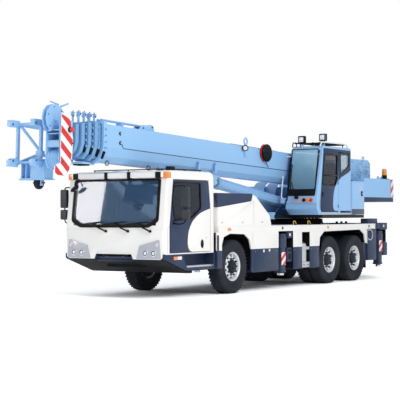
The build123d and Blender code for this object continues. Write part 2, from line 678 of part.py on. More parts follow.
# The single-line sheave stands above the head, on the right, between two rounded cheeks.
CHEEK = (
    (HEAD_S, 150),
    (HEAD_S, 500),
    (HEAD_S + 95, 594),
    (HEAD_S + 230, 630),
    (HEAD_S + 365, 594),
    (HEAD_S + 464, 495),
    (HEAD_S + 500, 360),
    (HEAD_S + 464, 225),
    (HEAD_S + 370, 120),
)
# Sheaves: along the boom, up, radius, and between which two places across.
SHEAVES = (
    (HEAD_S + 230, 360.0, 185.0, -140.0, -80.0),
    (HEAD_S + 190, -360.0, 165.0, -140.0, 140.0),
)
with BuildPart() as boom_head:
    for side in (1, -1):
        y_low, y_high = sorted((side * 145, side * 165))
        boom_side_profile(HEAD_PLATE, y_low, y_high)
    for cheek_y in (-165, -75):
        boom_side_profile(CHEEK, cheek_y, cheek_y + 20)
    back = ((HEAD_S, -190), (HEAD_S, 300), (HEAD_S + 40, 300), (HEAD_S + 40, -190))
    boom_side_profile(back, -146, 146)
    beam = ((HEAD_S + 30, -170), (HEAD_S + 30, -60), (HEAD_S + 340, -60), (HEAD_S + 340, -170))
    boom_side_profile(beam, -146, 146)
    shelf = ((HEAD_S + 30, 120), (HEAD_S + 30, 150), (HEAD_S + 350, 150), (HEAD_S + 350, 120))
    boom_side_profile(shelf, -146, 146)
save(boom_head.part, "boom_head")

with BuildPart() as head_sheaves:
    for along, up, radius, y_low, y_high in SHEAVES:
        boom_disc(along, up, y_low, y_high, radius)
        boom_disc(along, up, y_low - 5, y_high + 5, 45)
save(head_sheaves.part, "head_sheaves")

with BuildPart() as cable_reel:
    boom_disc(3200, 330, 302, 330, 60)
    boom_disc(3200, 330, 330, 420, 170)
save(cable_reel.part, "cable_reel")

# The stowed jib is a lattice beside the boom: four chords that narrow towards its tip.
JIB_ROOT_S = 10150.0
JIB_KNEE_S = 9550.0
JIB_TIP_S = 3000.0
JIB_IN = -460.0
JIB_OUT = -1020.0
JIB_LOWER = ((JIB_ROOT_S, -440.0), (JIB_KNEE_S, -230.0), (JIB_TIP_S, -150.0))
JIB_UPPER = ((JIB_ROOT_S, 300.0), (JIB_KNEE_S, 288.0), (JIB_TIP_S, 150.0))
# Frames of the lattice: place along the boom, height of the lower chord, height of the upper chord.
JIB_FRAMES = (
    (JIB_ROOT_S - 60, -420.0, 298.0),
    (8900.0, -222.0, 274.0),
    (6800.0, -196.0, 230.0),
    (4700.0, -170.0, 186.0),
    (JIB_TIP_S, -150.0, 150.0),
)
with BuildPart() as stowed_jib:
    for chord in (JIB_LOWER, JIB_UPPER):
        for (start_s, start_up), (end_s, end_up) in zip(chord, chord[1:]):
            chord_side = (
                (start_s, start_up - 30),
                (start_s, start_up + 30),
                (end_s, end_up + 30),
                (end_s, end_up - 30),
            )
            for y in (JIB_IN, JIB_OUT):
                boom_side_profile(chord_side, y - 25, y + 25)
    for frame_s, low, high in JIB_FRAMES:
        for y in (JIB_IN, JIB_OUT):
            upright = ((frame_s, low), (frame_s, high), (frame_s + 60, high), (frame_s + 60, low))
            boom_side_profile(upright, y - 25, y + 25)
        for up in (low, high):
            rung = ((frame_s, up - 25), (frame_s, up + 25), (frame_s + 60, up + 25), (frame_s + 60, up - 25))
            boom_side_profile(rung, JIB_OUT, JIB_IN)
    for bracket_s in (5200, 8000):
        arm = ((bracket_s, 100), (bracket_s, 160), (bracket_s + 200, 160), (bracket_s + 200, 100))
        boom_side_profile(arm, JIB_IN - 20, -301)
        cheek = ((bracket_s, -190), (bracket_s, 200), (bracket_s + 200, 200), (bracket_s + 200, -190))
        boom_side_profile(cheek, JIB_IN - 20, JIB_IN + 20)
    for up in (300, -440):
        for y in (JIB_IN, JIB_OUT):
            ear = (
                (JIB_ROOT_S - 20, up - 60),
                (JIB_ROOT_S - 20, up + 60),
                (JIB_ROOT_S + 220, up + 60),
                (JIB_ROOT_S + 220, up - 60),
            )
            boom_side_profile(ear, y - 50, y + 50)
    hanging_box = (
        (JIB_ROOT_S - 290, -730),
        (JIB_ROOT_S - 290, -395),
        (JIB_ROOT_S - 30, -430),
        (JIB_ROOT_S - 30, -730),
    )
    boom_side_profile(hanging_box, JIB_OUT + 60, JIB_IN + 90)
    boom_disc(JIB_ROOT_S - 188, -790, -650, -590, 114)
save(stowed_jib.part, "stowed_jib")

# --- Luffing cylinder --------------------------------------------------------------------------
LUFF_EYE = boom_point(LUFF_EYE_S, LUFF_EYE_N)
LUFF_RUN = LUFF_EYE[0] - FOOT_X
LUFF_RISE = LUFF_EYE[2] - FOOT_Z
LUFF_LENGTH = (LUFF_RUN**2 + LUFF_RISE**2) ** 0.5
LUFF_DIR = (LUFF_RUN / LUFF_LENGTH, 0, LUFF_RISE / LUFF_LENGTH)
LUFF_R = 125.0
LUFF_ROD_R = 80.0
BARREL_END = LUFF_LENGTH - 330.0


def luff_bar(start, end, radius, mode=Mode.ADD):
    """A round bar along the luffing cylinder, measured from its foot."""
    origin = (FOOT_X + LUFF_DIR[0] * start, 0, FOOT_Z + LUFF_DIR[2] * start)
    with BuildSketch(Plane(origin=origin, x_dir=(0, 1, 0), z_dir=LUFF_DIR)) as outline:
        Circle(radius)
    extrude(outline.sketch, amount=end - start, mode=mode)


with BuildPart() as luff_barrel:
    luff_bar(60, BARREL_END, LUFF_R)
    cross_disc(FOOT_X, FOOT_Z, -75, 75, 120)
    luff_bar(400, BARREL_END + 1, LUFF_ROD_R + 5, mode=Mode.SUBTRACT)
save(luff_barrel.part, "luff_barrel")

with BuildPart() as luff_rod:
    luff_bar(430, LUFF_LENGTH - 60, LUFF_ROD_R)
    cross_disc(LUFF_EYE[0], LUFF_EYE[2], -80, 80, 95)
save(luff_rod.part, "luff_rod")
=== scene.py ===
"""Finish of a three-axle truck crane: paint, glass, tyres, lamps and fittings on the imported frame.

Metres, +X forward, +Y to the left, +Z up. Places are given from the front axle, or along the boom
from its pivot, and moved into the crane's own frame when a piece is done.
"""

import json
import math

import bmesh
import bpy
from mathutils import Matrix, Vector


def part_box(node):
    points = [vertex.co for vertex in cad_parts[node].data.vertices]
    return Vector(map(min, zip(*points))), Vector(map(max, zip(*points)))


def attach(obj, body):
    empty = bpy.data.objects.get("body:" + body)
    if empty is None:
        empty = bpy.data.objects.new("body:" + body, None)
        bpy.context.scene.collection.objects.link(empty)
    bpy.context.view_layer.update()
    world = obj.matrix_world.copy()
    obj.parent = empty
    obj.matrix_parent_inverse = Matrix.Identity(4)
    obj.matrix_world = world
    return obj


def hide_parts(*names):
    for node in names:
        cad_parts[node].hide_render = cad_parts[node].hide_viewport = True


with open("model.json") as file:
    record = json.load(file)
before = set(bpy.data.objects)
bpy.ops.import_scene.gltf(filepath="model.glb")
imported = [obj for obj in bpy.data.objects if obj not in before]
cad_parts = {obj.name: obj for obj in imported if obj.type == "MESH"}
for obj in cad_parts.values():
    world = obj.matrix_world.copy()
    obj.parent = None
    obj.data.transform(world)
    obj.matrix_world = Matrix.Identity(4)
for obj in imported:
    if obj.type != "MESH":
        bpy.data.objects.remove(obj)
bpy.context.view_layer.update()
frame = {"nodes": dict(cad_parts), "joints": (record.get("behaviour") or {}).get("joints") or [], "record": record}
NODES = frame["nodes"]
SIDES = (("left", 1), ("right", -1))

rim_low, rim_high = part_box("front_rim_left")
AXLE_X = (rim_low.x + rim_high.x) / 2
FROM_AXLE = Matrix.Translation((AXLE_X, 0, 0))
JOINTS = {joint["name"]: joint for joint in frame["joints"]}
BOOM_RISE = math.radians(2.2)
ALONG_BOOM = Matrix.Translation(Vector(JOINTS["luff"]["pos_m"])) @ Matrix.Rotation(-BOOM_RISE, 4, "Y")
SHARP = math.radians(32)
ALONG, ACROSS, UP = (1, 0, 0), (0, 1, 0), (0, 0, 1)


# --- Materials ---
def srgb(red, green, blue):
    """A colour as a paint card gives it, turned into the shader's linear values."""

    def linear(level):
        share = level / 255
        return share / 12.92 if share <= 0.04045 else ((share + 0.055) / 1.055) ** 2.4

    return linear(red), linear(green), linear(blue), 1.0


WHITE = srgb(244, 242, 238)
BLUE = srgb(150, 196, 239)
NAVY = srgb(46, 60, 88)
DUST = srgb(176, 170, 158)
SKY_TINT = (0.45, 0.7, 1.0, 1.0)


def feed(tree, node, inputs):
    """Gives a node's sockets their values, or links them to other nodes' outputs."""
    for key, value in inputs.items():
        if isinstance(value, bpy.types.NodeSocket):
            tree.links.new(value, node.inputs[key])
        else:
            node.inputs[key].default_value = value
    return node


def add_node(tree, kind, inputs=None, **settings):
    node = tree.nodes.new(kind)
    for key, value in settings.items():
        setattr(node, key, value)
    return feed(tree, node, inputs or {})


def output_of(tree, kind, output, inputs=None, **settings):
    """The output asked for of a new shader node."""
    return add_node(tree, kind, inputs, **settings).outputs[output]


def group_with(name, inputs, outputs):
    """An empty shader group with its sockets, what it is given, and its output node."""
    tree = bpy.data.node_groups.new(name, "ShaderNodeTree")
    for label, kind, value in inputs:
        socket = tree.interface.new_socket(label, in_out="INPUT", socket_type=kind)
        socket.default_value = value
    for label, kind in outputs:
        tree.interface.new_socket(label, in_out="OUTPUT", socket_type=kind)
    return tree, tree.nodes.new("NodeGroupInput").outputs, tree.nodes.new("NodeGroupOutput")


def height_in(tree):
    """Height in the object's own directions."""
    place = output_of(tree, "ShaderNodeTexCoord", "Object")
    return output_of(tree, "ShaderNodeSeparateXYZ", "Z", {"Vector": place})


def make_road_dust():
    """Colour and roughness of a surface with faint patches, and road dust that thickens low down."""
    tree, given, out = group_with(
        "road_dust",
        (
            ("Colour", "NodeSocketColor", WHITE), ("Dust colour", "NodeSocketColor", DUST),
            ("Dust", "NodeSocketFloat", 0.2), ("Patches", "NodeSocketFloat", 1.5),
            ("Roughness", "NodeSocketFloat", 0.4),
        ),
        (("Colour", "NodeSocketColor"), ("Roughness", "NodeSocketFloat")),
    )
    place = output_of(tree, "ShaderNodeTexCoord", "Object")
    noise = output_of(
        tree, "ShaderNodeTexNoise", "Fac",
        {"Vector": place, "Scale": given["Patches"], "Detail": 7.0, "Roughness": 0.62},
    )
    patches = output_of(
        tree, "ShaderNodeMapRange", "Result", {"Value": noise, "From Min": 0.42, "From Max": 0.78}
    )
    near_road = output_of(
        tree, "ShaderNodeMapRange", "Result",
        {"Value": height_in(tree), "From Min": 0.15, "From Max": 1.5, "To Min": 1.0, "To Max": 0.12},
    )
    share = output_of(tree, "ShaderNodeMath", "Value", {0: patches, 1: near_road}, operation="MULTIPLY")
    amount = output_of(
        tree, "ShaderNodeMath", "Value", {0: share, 1: given["Dust"]}, operation="MULTIPLY",
        use_clamp=True,
    )
    tint = output_of(
        tree, "ShaderNodeMix", "Result",
        {"Factor": amount, "A": given["Colour"], "B": given["Dust colour"]}, data_type="RGBA",
    )
    rougher = output_of(
        tree, "ShaderNodeMath", "Value", {0: amount, 1: 0.5, 2: given["Roughness"]},
        operation="MULTIPLY_ADD", use_clamp=True,
    )
    feed(tree, out, {"Colour": tint, "Roughness": rougher})
    return tree


def make_fine_grain():
    """Height of a fine irregular grain: orange peel, moulded plastic, cast skin or cloth."""
    tree, given, out = group_with(
        "fine_grain", (("Scale", "NodeSocketFloat", 200.0),), (("Height", "NodeSocketFloat"),)
    )
    place = output_of(tree, "ShaderNodeTexCoord", "Object")
    noise = output_of(
        tree, "ShaderNodeTexNoise", "Fac", {"Vector": place, "Scale": given["Scale"], "Detail": 3.0}
    )
    feed(tree, out, {"Height": noise})
    return tree


ROAD_DUST = make_road_dust()
FINE_GRAIN = make_fine_grain()


def new_material(name):
    material = bpy.data.materials.new(name)
    material.use_nodes = True
    tree = material.node_tree
    return material, tree, tree.nodes["Principled BSDF"]


def finish_of(name, colour, roughness, dust=0.25, grain=220.0, depth=0.02, below=None, **sockets):
    """A painted, moulded or metal finish. below is (height, colour): another colour under that height."""
    material, tree, shader = new_material(name)
    paint = colour
    if below:
        split, lower = below
        over = output_of(
            tree, "ShaderNodeMath", "Value", {0: height_in(tree), 1: split}, operation="GREATER_THAN"
        )
        paint = output_of(
            tree, "ShaderNodeMix", "Result", {"Factor": over, "A": lower, "B": colour}, data_type="RGBA"
        )
    dirt = add_node(
        tree, "ShaderNodeGroup", {"Colour": paint, "Dust": dust, "Roughness": roughness},
        node_tree=ROAD_DUST,
    )
    peel = output_of(tree, "ShaderNodeGroup", "Height", {"Scale": grain}, node_tree=FINE_GRAIN)
    bump = output_of(
        tree, "ShaderNodeBump", "Normal", {"Height": peel, "Strength": 0.5, "Distance": depth * 0.05}
    )
    surface = {
        "Base Color": dirt.outputs["Colour"],
        "Roughness": dirt.outputs["Roughness"],
        "Normal": bump,
    }
    feed(tree, shader, surface)
    feed(tree, shader, {key.replace("_", " "): value for key, value in sockets.items()})
    return material


PAINT_SHEEN = {"Specular_IOR_Level": 0.25, "Coat_Weight": 0.06}
DARK_SHEEN = {"Specular_IOR_Level": 0.14}
WHITE_PAINT = finish_of("white_paint", WHITE, 0.32, **PAINT_SHEEN)
BLUE_PAINT = finish_of("light_blue_paint", BLUE, 0.34, **PAINT_SHEEN)
NAVY_PAINT = finish_of("navy_paint", NAVY, 0.38, dust=0.12, **DARK_SHEEN)
SKIRT_PAINT = finish_of("skirt_paint", WHITE, 0.34, dust=0.12, below=(0.89, NAVY), **DARK_SHEEN)
WEIGHT_PAINT = finish_of("counterweight_paint", BLUE, 0.4, below=(2.03, NAVY), **DARK_SHEEN)
CHASSIS_BLACK = finish_of("chassis_black", srgb(12, 13, 17), 0.6, dust=0.08, depth=0.05, **DARK_SHEEN)
# The turntable frame is black below 1.605 m: painted shade, for the dark region under the operator's cab.
FRAME_PAINT_WITH_PAINTED_SHADE = finish_of("frame_paint_with_painted_shade", BLUE, 0.36, below=(1.605, srgb(12, 13, 17)), **DARK_SHEEN)
# A deeper blue for the telescopic sections than for the base section: painted shade, standing for the shadow that
# falls between the collars.
SECTION_PAINTED_SHADE_BLUE = finish_of("section_painted_shade_blue", srgb(116, 164, 208), 0.38, **PAINT_SHEEN)
CAB_LINING = finish_of("cab_lining", srgb(50, 60, 76), 0.75, grain=500.0, depth=0.1, **DARK_SHEEN)
MIRROR_SHELL = finish_of("mirror_shell", srgb(30, 34, 46), 0.42, dust=0.08, grain=600.0, depth=0.04)
BLACK_PLASTIC = finish_of(
    "black_plastic", srgb(15, 16, 20), 0.5, dust=0.08, grain=600.0, depth=0.04, **DARK_SHEEN
)
SMOOTH_BLACK = finish_of("smooth_black", srgb(9, 10, 13), 0.3, dust=0.05, **DARK_SHEEN)
TYRE_RUBBER = finish_of(
    "tyre_rubber", srgb(38, 42, 50), 0.75, dust=0.1, grain=350.0, depth=0.1, **DARK_SHEEN
)
RIM_PAINT = finish_of("rim_paint", srgb(224, 226, 230), 0.34, dust=0.15, Metallic=0.2)
HUB_PAINT = finish_of("hub_paint", srgb(28, 34, 48), 0.45, dust=0.08, **DARK_SHEEN)
CAST_IRON = finish_of("cast_iron", srgb(84, 87, 92), 0.6, dust=0.4, grain=120.0, depth=0.2)
BRIGHT_STEEL = finish_of("bright_steel", srgb(196, 199, 204), 0.3, Metallic=0.9)
CHROME_ROD = finish_of("chrome_rod", srgb(214, 217, 222), 0.12, dust=0.05, Metallic=1.0)
LAMP_GREY = finish_of("lamp_grey", srgb(176, 179, 192), 0.3, Coat_Weight=0.4)
CLEAR_LENS = finish_of("clear_lens", srgb(226, 230, 236), 0.08, dust=0.05, Coat_Weight=1.0)
ORANGE_LENS = finish_of("orange_lens", srgb(240, 140, 36), 0.15, dust=0.1, Coat_Weight=0.8)
RED_LENS = finish_of("red_lens", srgb(200, 28, 30), 0.15, dust=0.1, Coat_Weight=0.8)
SIGN_RED = finish_of("sign_red", srgb(216, 40, 42), 0.4, dust=0.1)
SIGN_WHITE = finish_of("sign_white", srgb(240, 240, 240), 0.4, dust=0.1)
YELLOW_PAINT = finish_of("yellow_paint", srgb(226, 190, 70), 0.45)
SEAT_CLOTH = finish_of(
    "seat_cloth", srgb(46, 52, 62), 0.9, grain=900.0, depth=0.3, Specular_IOR_Level=0.1
)
WIRE_ROPE = finish_of("wire_rope", srgb(120, 122, 126), 0.5, Metallic=0.7, grain=400.0, depth=0.2)
MIRROR_FACE = finish_of("mirror_face", srgb(225, 230, 236), 0.04, dust=0.0, Metallic=1.0)


def glass_of(name, colour, alpha, painted_reflection_fade=None, sheen=None):
    """A tinted pane. alpha says how much it hides. A fade, given as (low, high, colour below) with heights in
    metres, is a painted reflection: the pane's colour lightens upwards from the colour below to its own.
    """
    material, tree, shader = new_material(name)
    tint = colour
    if painted_reflection_fade:
        low, high, low_colour = painted_reflection_fade
        rise = output_of(
            tree, "ShaderNodeMapRange", "Result",
            {"Value": height_in(tree), "From Min": low, "From Max": high},
        )
        tint = output_of(
            tree, "ShaderNodeMix", "Result", {"Factor": rise, "A": low_colour, "B": colour},
            data_type="RGBA",
        )
    smear = add_node(
        tree, "ShaderNodeGroup", {"Colour": tint, "Dust": 0.08, "Roughness": 0.03}, node_tree=ROAD_DUST
    )
    surface = {"Base Color": smear.outputs["Colour"], "Roughness": smear.outputs["Roughness"]}
    feed(tree, shader, {**surface, "Alpha": alpha, "Specular IOR Level": 0.3, **(sheen or {})})
    return material


TINTED_GLASS = glass_of("tinted_glass", srgb(26, 38, 54), 0.62)
CLEAR_GLASS = glass_of("clear_glass", srgb(150, 186, 204), 0.3)
SCREEN_SHEEN = {"Specular IOR Level": 1.0, "Specular Tint": SKY_TINT}
SCREEN_GLASS = glass_of("screen_glass", srgb(66, 90, 116), 0.6, sheen=SCREEN_SHEEN)
# The operator's front pane is a pale sky blue, lighter towards the top: painted reflection of the sky.
OP_GLASS_PAINTED_REFLECTION = glass_of("cab_front_glass_painted_reflection", srgb(158, 208, 236), 0.62, (2.25, 3.05, srgb(118, 156, 178)))


# --- Shapes ---
def rounded(shape, edges, width, steps=2):
    """Rounds these edges of a shape."""
    bmesh.ops.bevel(
        shape, geom=edges, offset=width, offset_type="OFFSET", segments=steps, profile=0.5,
        affect="EDGES", clamp_overlap=True, material=-1,
    )
    return shape


def folded_edges(shape, least=0.5):
    return [edge for edge in shape.edges if edge.calc_face_angle(0) > least]


def block(x_low, x_high, y_low, y_high, z_low, z_high, edge=0.006, steps=2):
    """A box between two corners, with rounded edges."""
    shape = bmesh.new()
    y_low, y_high = min(y_low, y_high), max(y_low, y_high)
    size = Vector((x_high - x_low, y_high - y_low, z_high - z_low))
    centre = Vector((x_high + x_low, y_high + y_low, z_high + z_low)) / 2
    bmesh.ops.create_cube(shape, size=1.0)
    bmesh.ops.scale(shape, vec=size, verts=shape.verts)
    bmesh.ops.translate(shape, vec=centre, verts=shape.verts)
    if edge:
        rounded(shape, shape.edges[:], min(edge, 0.3 * min(size)), steps)
    return shape


def rod(start, end, radius, sides=20, end_radius=None, edge=0.0):
    """A round bar or cone between two points."""
    shape = bmesh.new()
    start, end = Vector(start), Vector(end)
    turn = (end - start).to_track_quat("Z", "Y").to_matrix().to_4x4()
    bmesh.ops.create_cone(
        shape, cap_ends=True, cap_tris=False, segments=sides, radius1=radius,
        radius2=radius if end_radius is None else end_radius, depth=(end - start).length,
        matrix=Matrix.Translation((start + end) / 2) @ turn,
    )
    if edge:
        rounded(shape, folded_edges(shape, 1.0), edge)
    return shape


def cross_bar(x, z, y_low, y_high, radius, *sides, **options):
    """A round bar that lies across the crane."""
    return rod((x, y_low, z), (x, y_high, z), radius, *sides, **options)


def plate(points, rise, corner=0.0, edge=0.003, steps=4):
    """A flat outline given thickness. corner rounds the outline, edge rounds the rims.

    corner is one radius for all corners, or a dict of radius by place in points."""
    shape = bmesh.new()
    verts = [shape.verts.new(point) for point in points]
    shape.faces.new(verts)
    radii = corner if isinstance(corner, dict) else {i: corner for i in range(len(verts))}
    for radius in sorted({r for r in radii.values() if r > 0}):
        bmesh.ops.bevel(
            shape, geom=[verts[i] for i, r in radii.items() if r == radius], offset=radius,
            offset_type="OFFSET", segments=steps, profile=0.5, affect="VERTICES", clamp_overlap=True,
            material=-1,
        )
    grown = bmesh.ops.extrude_face_region(shape, geom=shape.faces[:])
    lifted = [item for item in grown["geom"] if isinstance(item, bmesh.types.BMVert)]
    bmesh.ops.translate(shape, vec=rise, verts=lifted)
    bmesh.ops.recalc_face_normals(shape, faces=shape.faces)
    if edge:
        rounded(shape, folded_edges(shape, 1.2), edge, 2)
    return shape


def framed(outline, opening, y_low, y_high, corner, opening_corner, edge=0.003, reach=(1.0, 1.3)):
    """A plate of a door or cab side, with an opening through it; reach is the cutter's in Y."""
    cutter = side_plate(opening, *reach, corner=opening_corner, edge=0)
    return carved(side_plate(outline, y_low, y_high, corner=corner, edge=edge), cutter)


def side_plate(points, y_low, y_high, **options):
    """A plate whose outline is given in X and Z."""
    return plate([(x, y_low, z) for x, z in points], (0, y_high - y_low, 0), **options)


def front_plate(points, x_low, x_high, **options):
    """A plate whose outline is given in Y and Z."""
    return plate([(x_low, y, z) for y, z in points], (x_high - x_low, 0, 0), **options)


def turned(profile, origin, axis, steps=40, closed=False):
    """A shape turned about an axis through origin. The profile is given as (radius, along the axis)."""
    shape = bmesh.new()
    verts = [shape.verts.new((radius, 0, along)) for radius, along in profile]
    edges = [shape.edges.new(pair) for pair in zip(verts, verts[1:])]
    if closed:
        edges.append(shape.edges.new((verts[-1], verts[0])))
    bmesh.ops.spin(
        shape, geom=verts + edges, cent=(0, 0, 0), axis=(0, 0, 1), angle=math.tau, steps=steps,
        use_merge=True,
    )
    bmesh.ops.remove_doubles(shape, verts=shape.verts, dist=1e-05)
    bmesh.ops.recalc_face_normals(shape, faces=shape.faces)
    turn = Vector(axis).to_track_quat("Z", "Y").to_matrix().to_4x4()
    bmesh.ops.transform(shape, matrix=Matrix.Translation(Vector(origin)) @ turn, verts=shape.verts)
    return shape


def pipe(points, radius, bend=0.0):
    """A tube along a bent line, its corners rounded by bend."""
    wire = bmesh.new()
    verts = [wire.verts.new(point) for point in points]
    for pair in zip(verts, verts[1:]):
        wire.edges.new(pair)
    if bend and len(verts) > 2:
        bmesh.ops.bevel(
            wire, geom=verts[1:-1], offset=bend, offset_type="OFFSET", segments=5, profile=0.5,
            affect="VERTICES", clamp_overlap=True, material=-1,
        )
    here = min(
        (v for v in wire.verts if len(v.link_edges) == 1),
        key=lambda v: (v.co - Vector(points[0])).length,
    )
    route, before = [here.co.copy()], None
    while True:
        steps = [e for e in here.link_edges if e is not before]
        if not steps:
            break
        before = steps[0]
        here = before.other_vert(here)
        route.append(here.co.copy())
    wire.free()
    curve = bpy.data.curves.new("pipe", "CURVE")
    curve.dimensions = "3D"
    curve.bevel_depth = radius
    curve.bevel_resolution = 3
    curve.use_fill_caps = True
    spline = curve.splines.new("POLY")
    spline.points.add(len(route) - 1)
    for point, co in zip(spline.points, route):
        point.co = (*co, 1.0)
    holder = bpy.data.objects.new("pipe", curve)
    bpy.context.scene.collection.objects.link(holder)
    shape = bmesh.new()
    shape.from_mesh(holder.to_mesh())
    holder.to_mesh_clear()
    bpy.data.objects.remove(holder)
    bpy.data.curves.remove(curve)
    bmesh.ops.remove_doubles(shape, verts=shape.verts, dist=1e-06)
    bmesh.ops.recalc_face_normals(shape, faces=shape.faces)
    return shape


def joined(*shapes):
    """Several shapes as one."""
    whole = bmesh.new()
    for shape in shapes:
        mesh = bpy.data.meshes.new("part")
        shape.to_mesh(mesh)
        shape.free()
        whole.from_mesh(mesh)
        bpy.data.meshes.remove(mesh)
    return whole


def as_object(shape, name="part"):
    mesh = bpy.data.meshes.new(name)
    shape.to_mesh(mesh)
    shape.free()
    holder = bpy.data.objects.new(name, mesh)
    bpy.context.scene.collection.objects.link(holder)
    return holder


def carved(shape, *cutters):
    """The shape with the cutters taken out of it."""
    body, tool = as_object(shape), as_object(joined(*cutters))
    cut = body.modifiers.new("cut", "BOOLEAN")
    cut.operation, cut.solver, cut.object = "DIFFERENCE", "EXACT", tool
    seen = body.evaluated_get(bpy.context.evaluated_depsgraph_get())
    result = bmesh.new()
    result.from_mesh(seen.to_mesh())
    seen.to_mesh_clear()
    for holder in (body, tool):
        mesh = holder.data
        bpy.data.objects.remove(holder)
        bpy.data.meshes.remove(mesh)
    bmesh.ops.remove_doubles(result, verts=result.verts, dist=1e-06)
    return result


def sliced(shape, point, normal):
    """The shape with what lies beyond a plane cut off, and the cut closed."""
    bmesh.ops.bisect_plane(
        shape, geom=shape.verts[:] + shape.edges[:] + shape.faces[:], dist=1e-06, plane_co=point,
        plane_no=normal, clear_outer=True,
    )
    bmesh.ops.holes_fill(shape, edges=[e for e in shape.edges if e.is_boundary], sides=0)
    return shape


def mirrored(shape):
    """The same shape on the other side of the crane."""
    bmesh.ops.scale(shape, vec=(1, -1, 1), verts=shape.verts)
    bmesh.ops.reverse_faces(shape, faces=shape.faces)
    return shape


def on_side(shape, side):
    """A shape drawn for the left side, moved to the side asked for."""
    return shape if side > 0 else mirrored(shape)


def moved(shape, matrix):
    bmesh.ops.transform(shape, matrix=matrix, verts=shape.verts)
    return shape


class Piece:
    """An object in the making: shapes come in with their materials, then it rides on its body.

    Shapes are drawn for the left side. A piece of the right side has side=-1, and turns them over."""

    def __init__(self, name, body, place=FROM_AXLE, side=1):
        self.name, self.body, self.place, self.side = name, body, place, side
        self.whole, self.materials = bmesh.new(), []

    def add(self, material, *shapes):
        if material not in self.materials:
            self.materials.append(material)
        number = self.materials.index(material)
        for shape in shapes:
            if self.side < 0:
                mirrored(shape)
            for face in shape.faces:
                face.material_index = number
                face.smooth = True
            mesh = bpy.data.meshes.new("part")
            shape.to_mesh(mesh)
            shape.free()
            self.whole.from_mesh(mesh)
            bpy.data.meshes.remove(mesh)

    def pair(self, material, *shapes):
        """The shapes on the left, and the same on the right."""
        for shape in shapes:
            self.add(material, shape.copy(), mirrored(shape))

    def done(self, slot, replaces=()):
        bmesh.ops.transform(self.whole, matrix=self.place, verts=self.whole.verts)
        mesh = bpy.data.meshes.new(self.name)
        self.whole.to_mesh(mesh)
        self.whole.free()
        mesh.set_sharp_from_angle(angle=SHARP)
        piece = bpy.data.objects.new(self.name, mesh)
        bpy.context.scene.collection.objects.link(piece)
        for material in self.materials:
            mesh.materials.append(material)
        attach(piece, self.body)
        if replaces:
            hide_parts(*replaces)
        return piece


def banded(add, make, start, step, width):
    """Adds a warning plate: slanting bands of red and white."""
    start, step = Vector(start), Vector(step).normalized()
    probe = make()
    reach = [(vert.co - start).dot(step) for vert in probe.verts]
    probe.free()
    first, last = math.floor(min(reach) / width), math.ceil(max(reach) / width)
    for i in range(first, last):
        band = sliced(make(), start + step * width * (i + 1), step)
        band = sliced(band, start + step * width * i, -step)
        if band.faces:
            add((SIGN_RED, SIGN_WHITE)[i % 2], band)
        else:
            band.free()


def shell_copy(node, width, wanted, place=FROM_AXLE):
    """A CAD node's shape in the piece's own places, with the wanted edges rounded."""
    shape = bmesh.new()
    shape.from_mesh(NODES[node].data)
    bmesh.ops.remove_doubles(shape, verts=shape.verts, dist=1e-05)
    bmesh.ops.dissolve_limit(shape, angle_limit=0.01, verts=shape.verts, edges=shape.edges, delimit=set())
    bmesh.ops.transform(shape, matrix=place.inverted(), verts=shape.verts)
    edges = []
    for edge in shape.edges:
        if len(edge.link_faces) == 2 and edge.calc_face_angle(0) > 0.15:
            middle = (edge.verts[0].co + edge.verts[1].co) / 2
            if wanted(middle, edge):
                edges.append(edge)
    return rounded(shape, edges, width, 4)


def round_bar(radius, half, sides):
    """The section of a ring bent from round bar, for turned."""
    turns = [i * math.tau / sides for i in range(sides)]
    return [(radius + half * math.cos(turn), half * math.sin(turn)) for turn in turns]


def ring_of(shape_at, count, origin, axis, start=0.0):
    """The same small shape set round an axis. shape_at makes it at that axis's zero angle."""
    shapes = []
    origin, axis = Vector(origin), Vector(axis)
    for i in range(count):
        turn = Matrix.Rotation(start + i * math.tau / count, 4, axis)
        place = Matrix.Translation(origin) @ turn @ Matrix.Translation(-origin)
        shapes.append(moved(shape_at(), place))
    return joined(*shapes)


def kept(shape):
    """A shape stored to be used several times."""
    mesh = bpy.data.meshes.new("stock")
    shape.to_mesh(mesh)
    shape.free()
    return mesh


# --- Wheels ---
# Wheel shapes are made about the origin with the outer side towards +Y.
WHEEL_R = 0.55
TYRE_HALF_PROFILE = (
    (0.288, 0.104), (0.29, 0.118), (0.3, 0.127), (0.318, 0.13), (0.35, 0.139), (0.372, 0.141),
    (0.377, 0.146), (0.386, 0.146), (0.39, 0.143), (0.43, 0.149), (0.47, 0.149), (0.5, 0.144),
    (0.52, 0.134), (0.534, 0.122), (0.54, 0.1), (0.549, 0.092), (0.55, 0.074), (0.538, 0.07),
    (0.538, 0.06), (0.55, 0.056), (0.55, 0.036), (0.538, 0.032), (0.538, 0.022), (0.55, 0.018),
)


def make_tyre():
    outer = list(TYRE_HALF_PROFILE)
    inner = [(radius, -along) for radius, along in reversed(outer)]
    tyre = turned(outer + inner, (0, 0, 0), ACROSS, steps=72, closed=True)
    for side in (1, -1):
        low, high = sorted((side * 0.094, side * 0.139))
        tyre = joined(
            tyre,
            ring_of(
                lambda: block(-0.017, 0.017, low, high, 0.505, 0.5488, edge=0.004, steps=1), 44,
                (0, 0, 0), ACROSS, start=side * 0.03,
            ),
        )
    return kept(tyre)


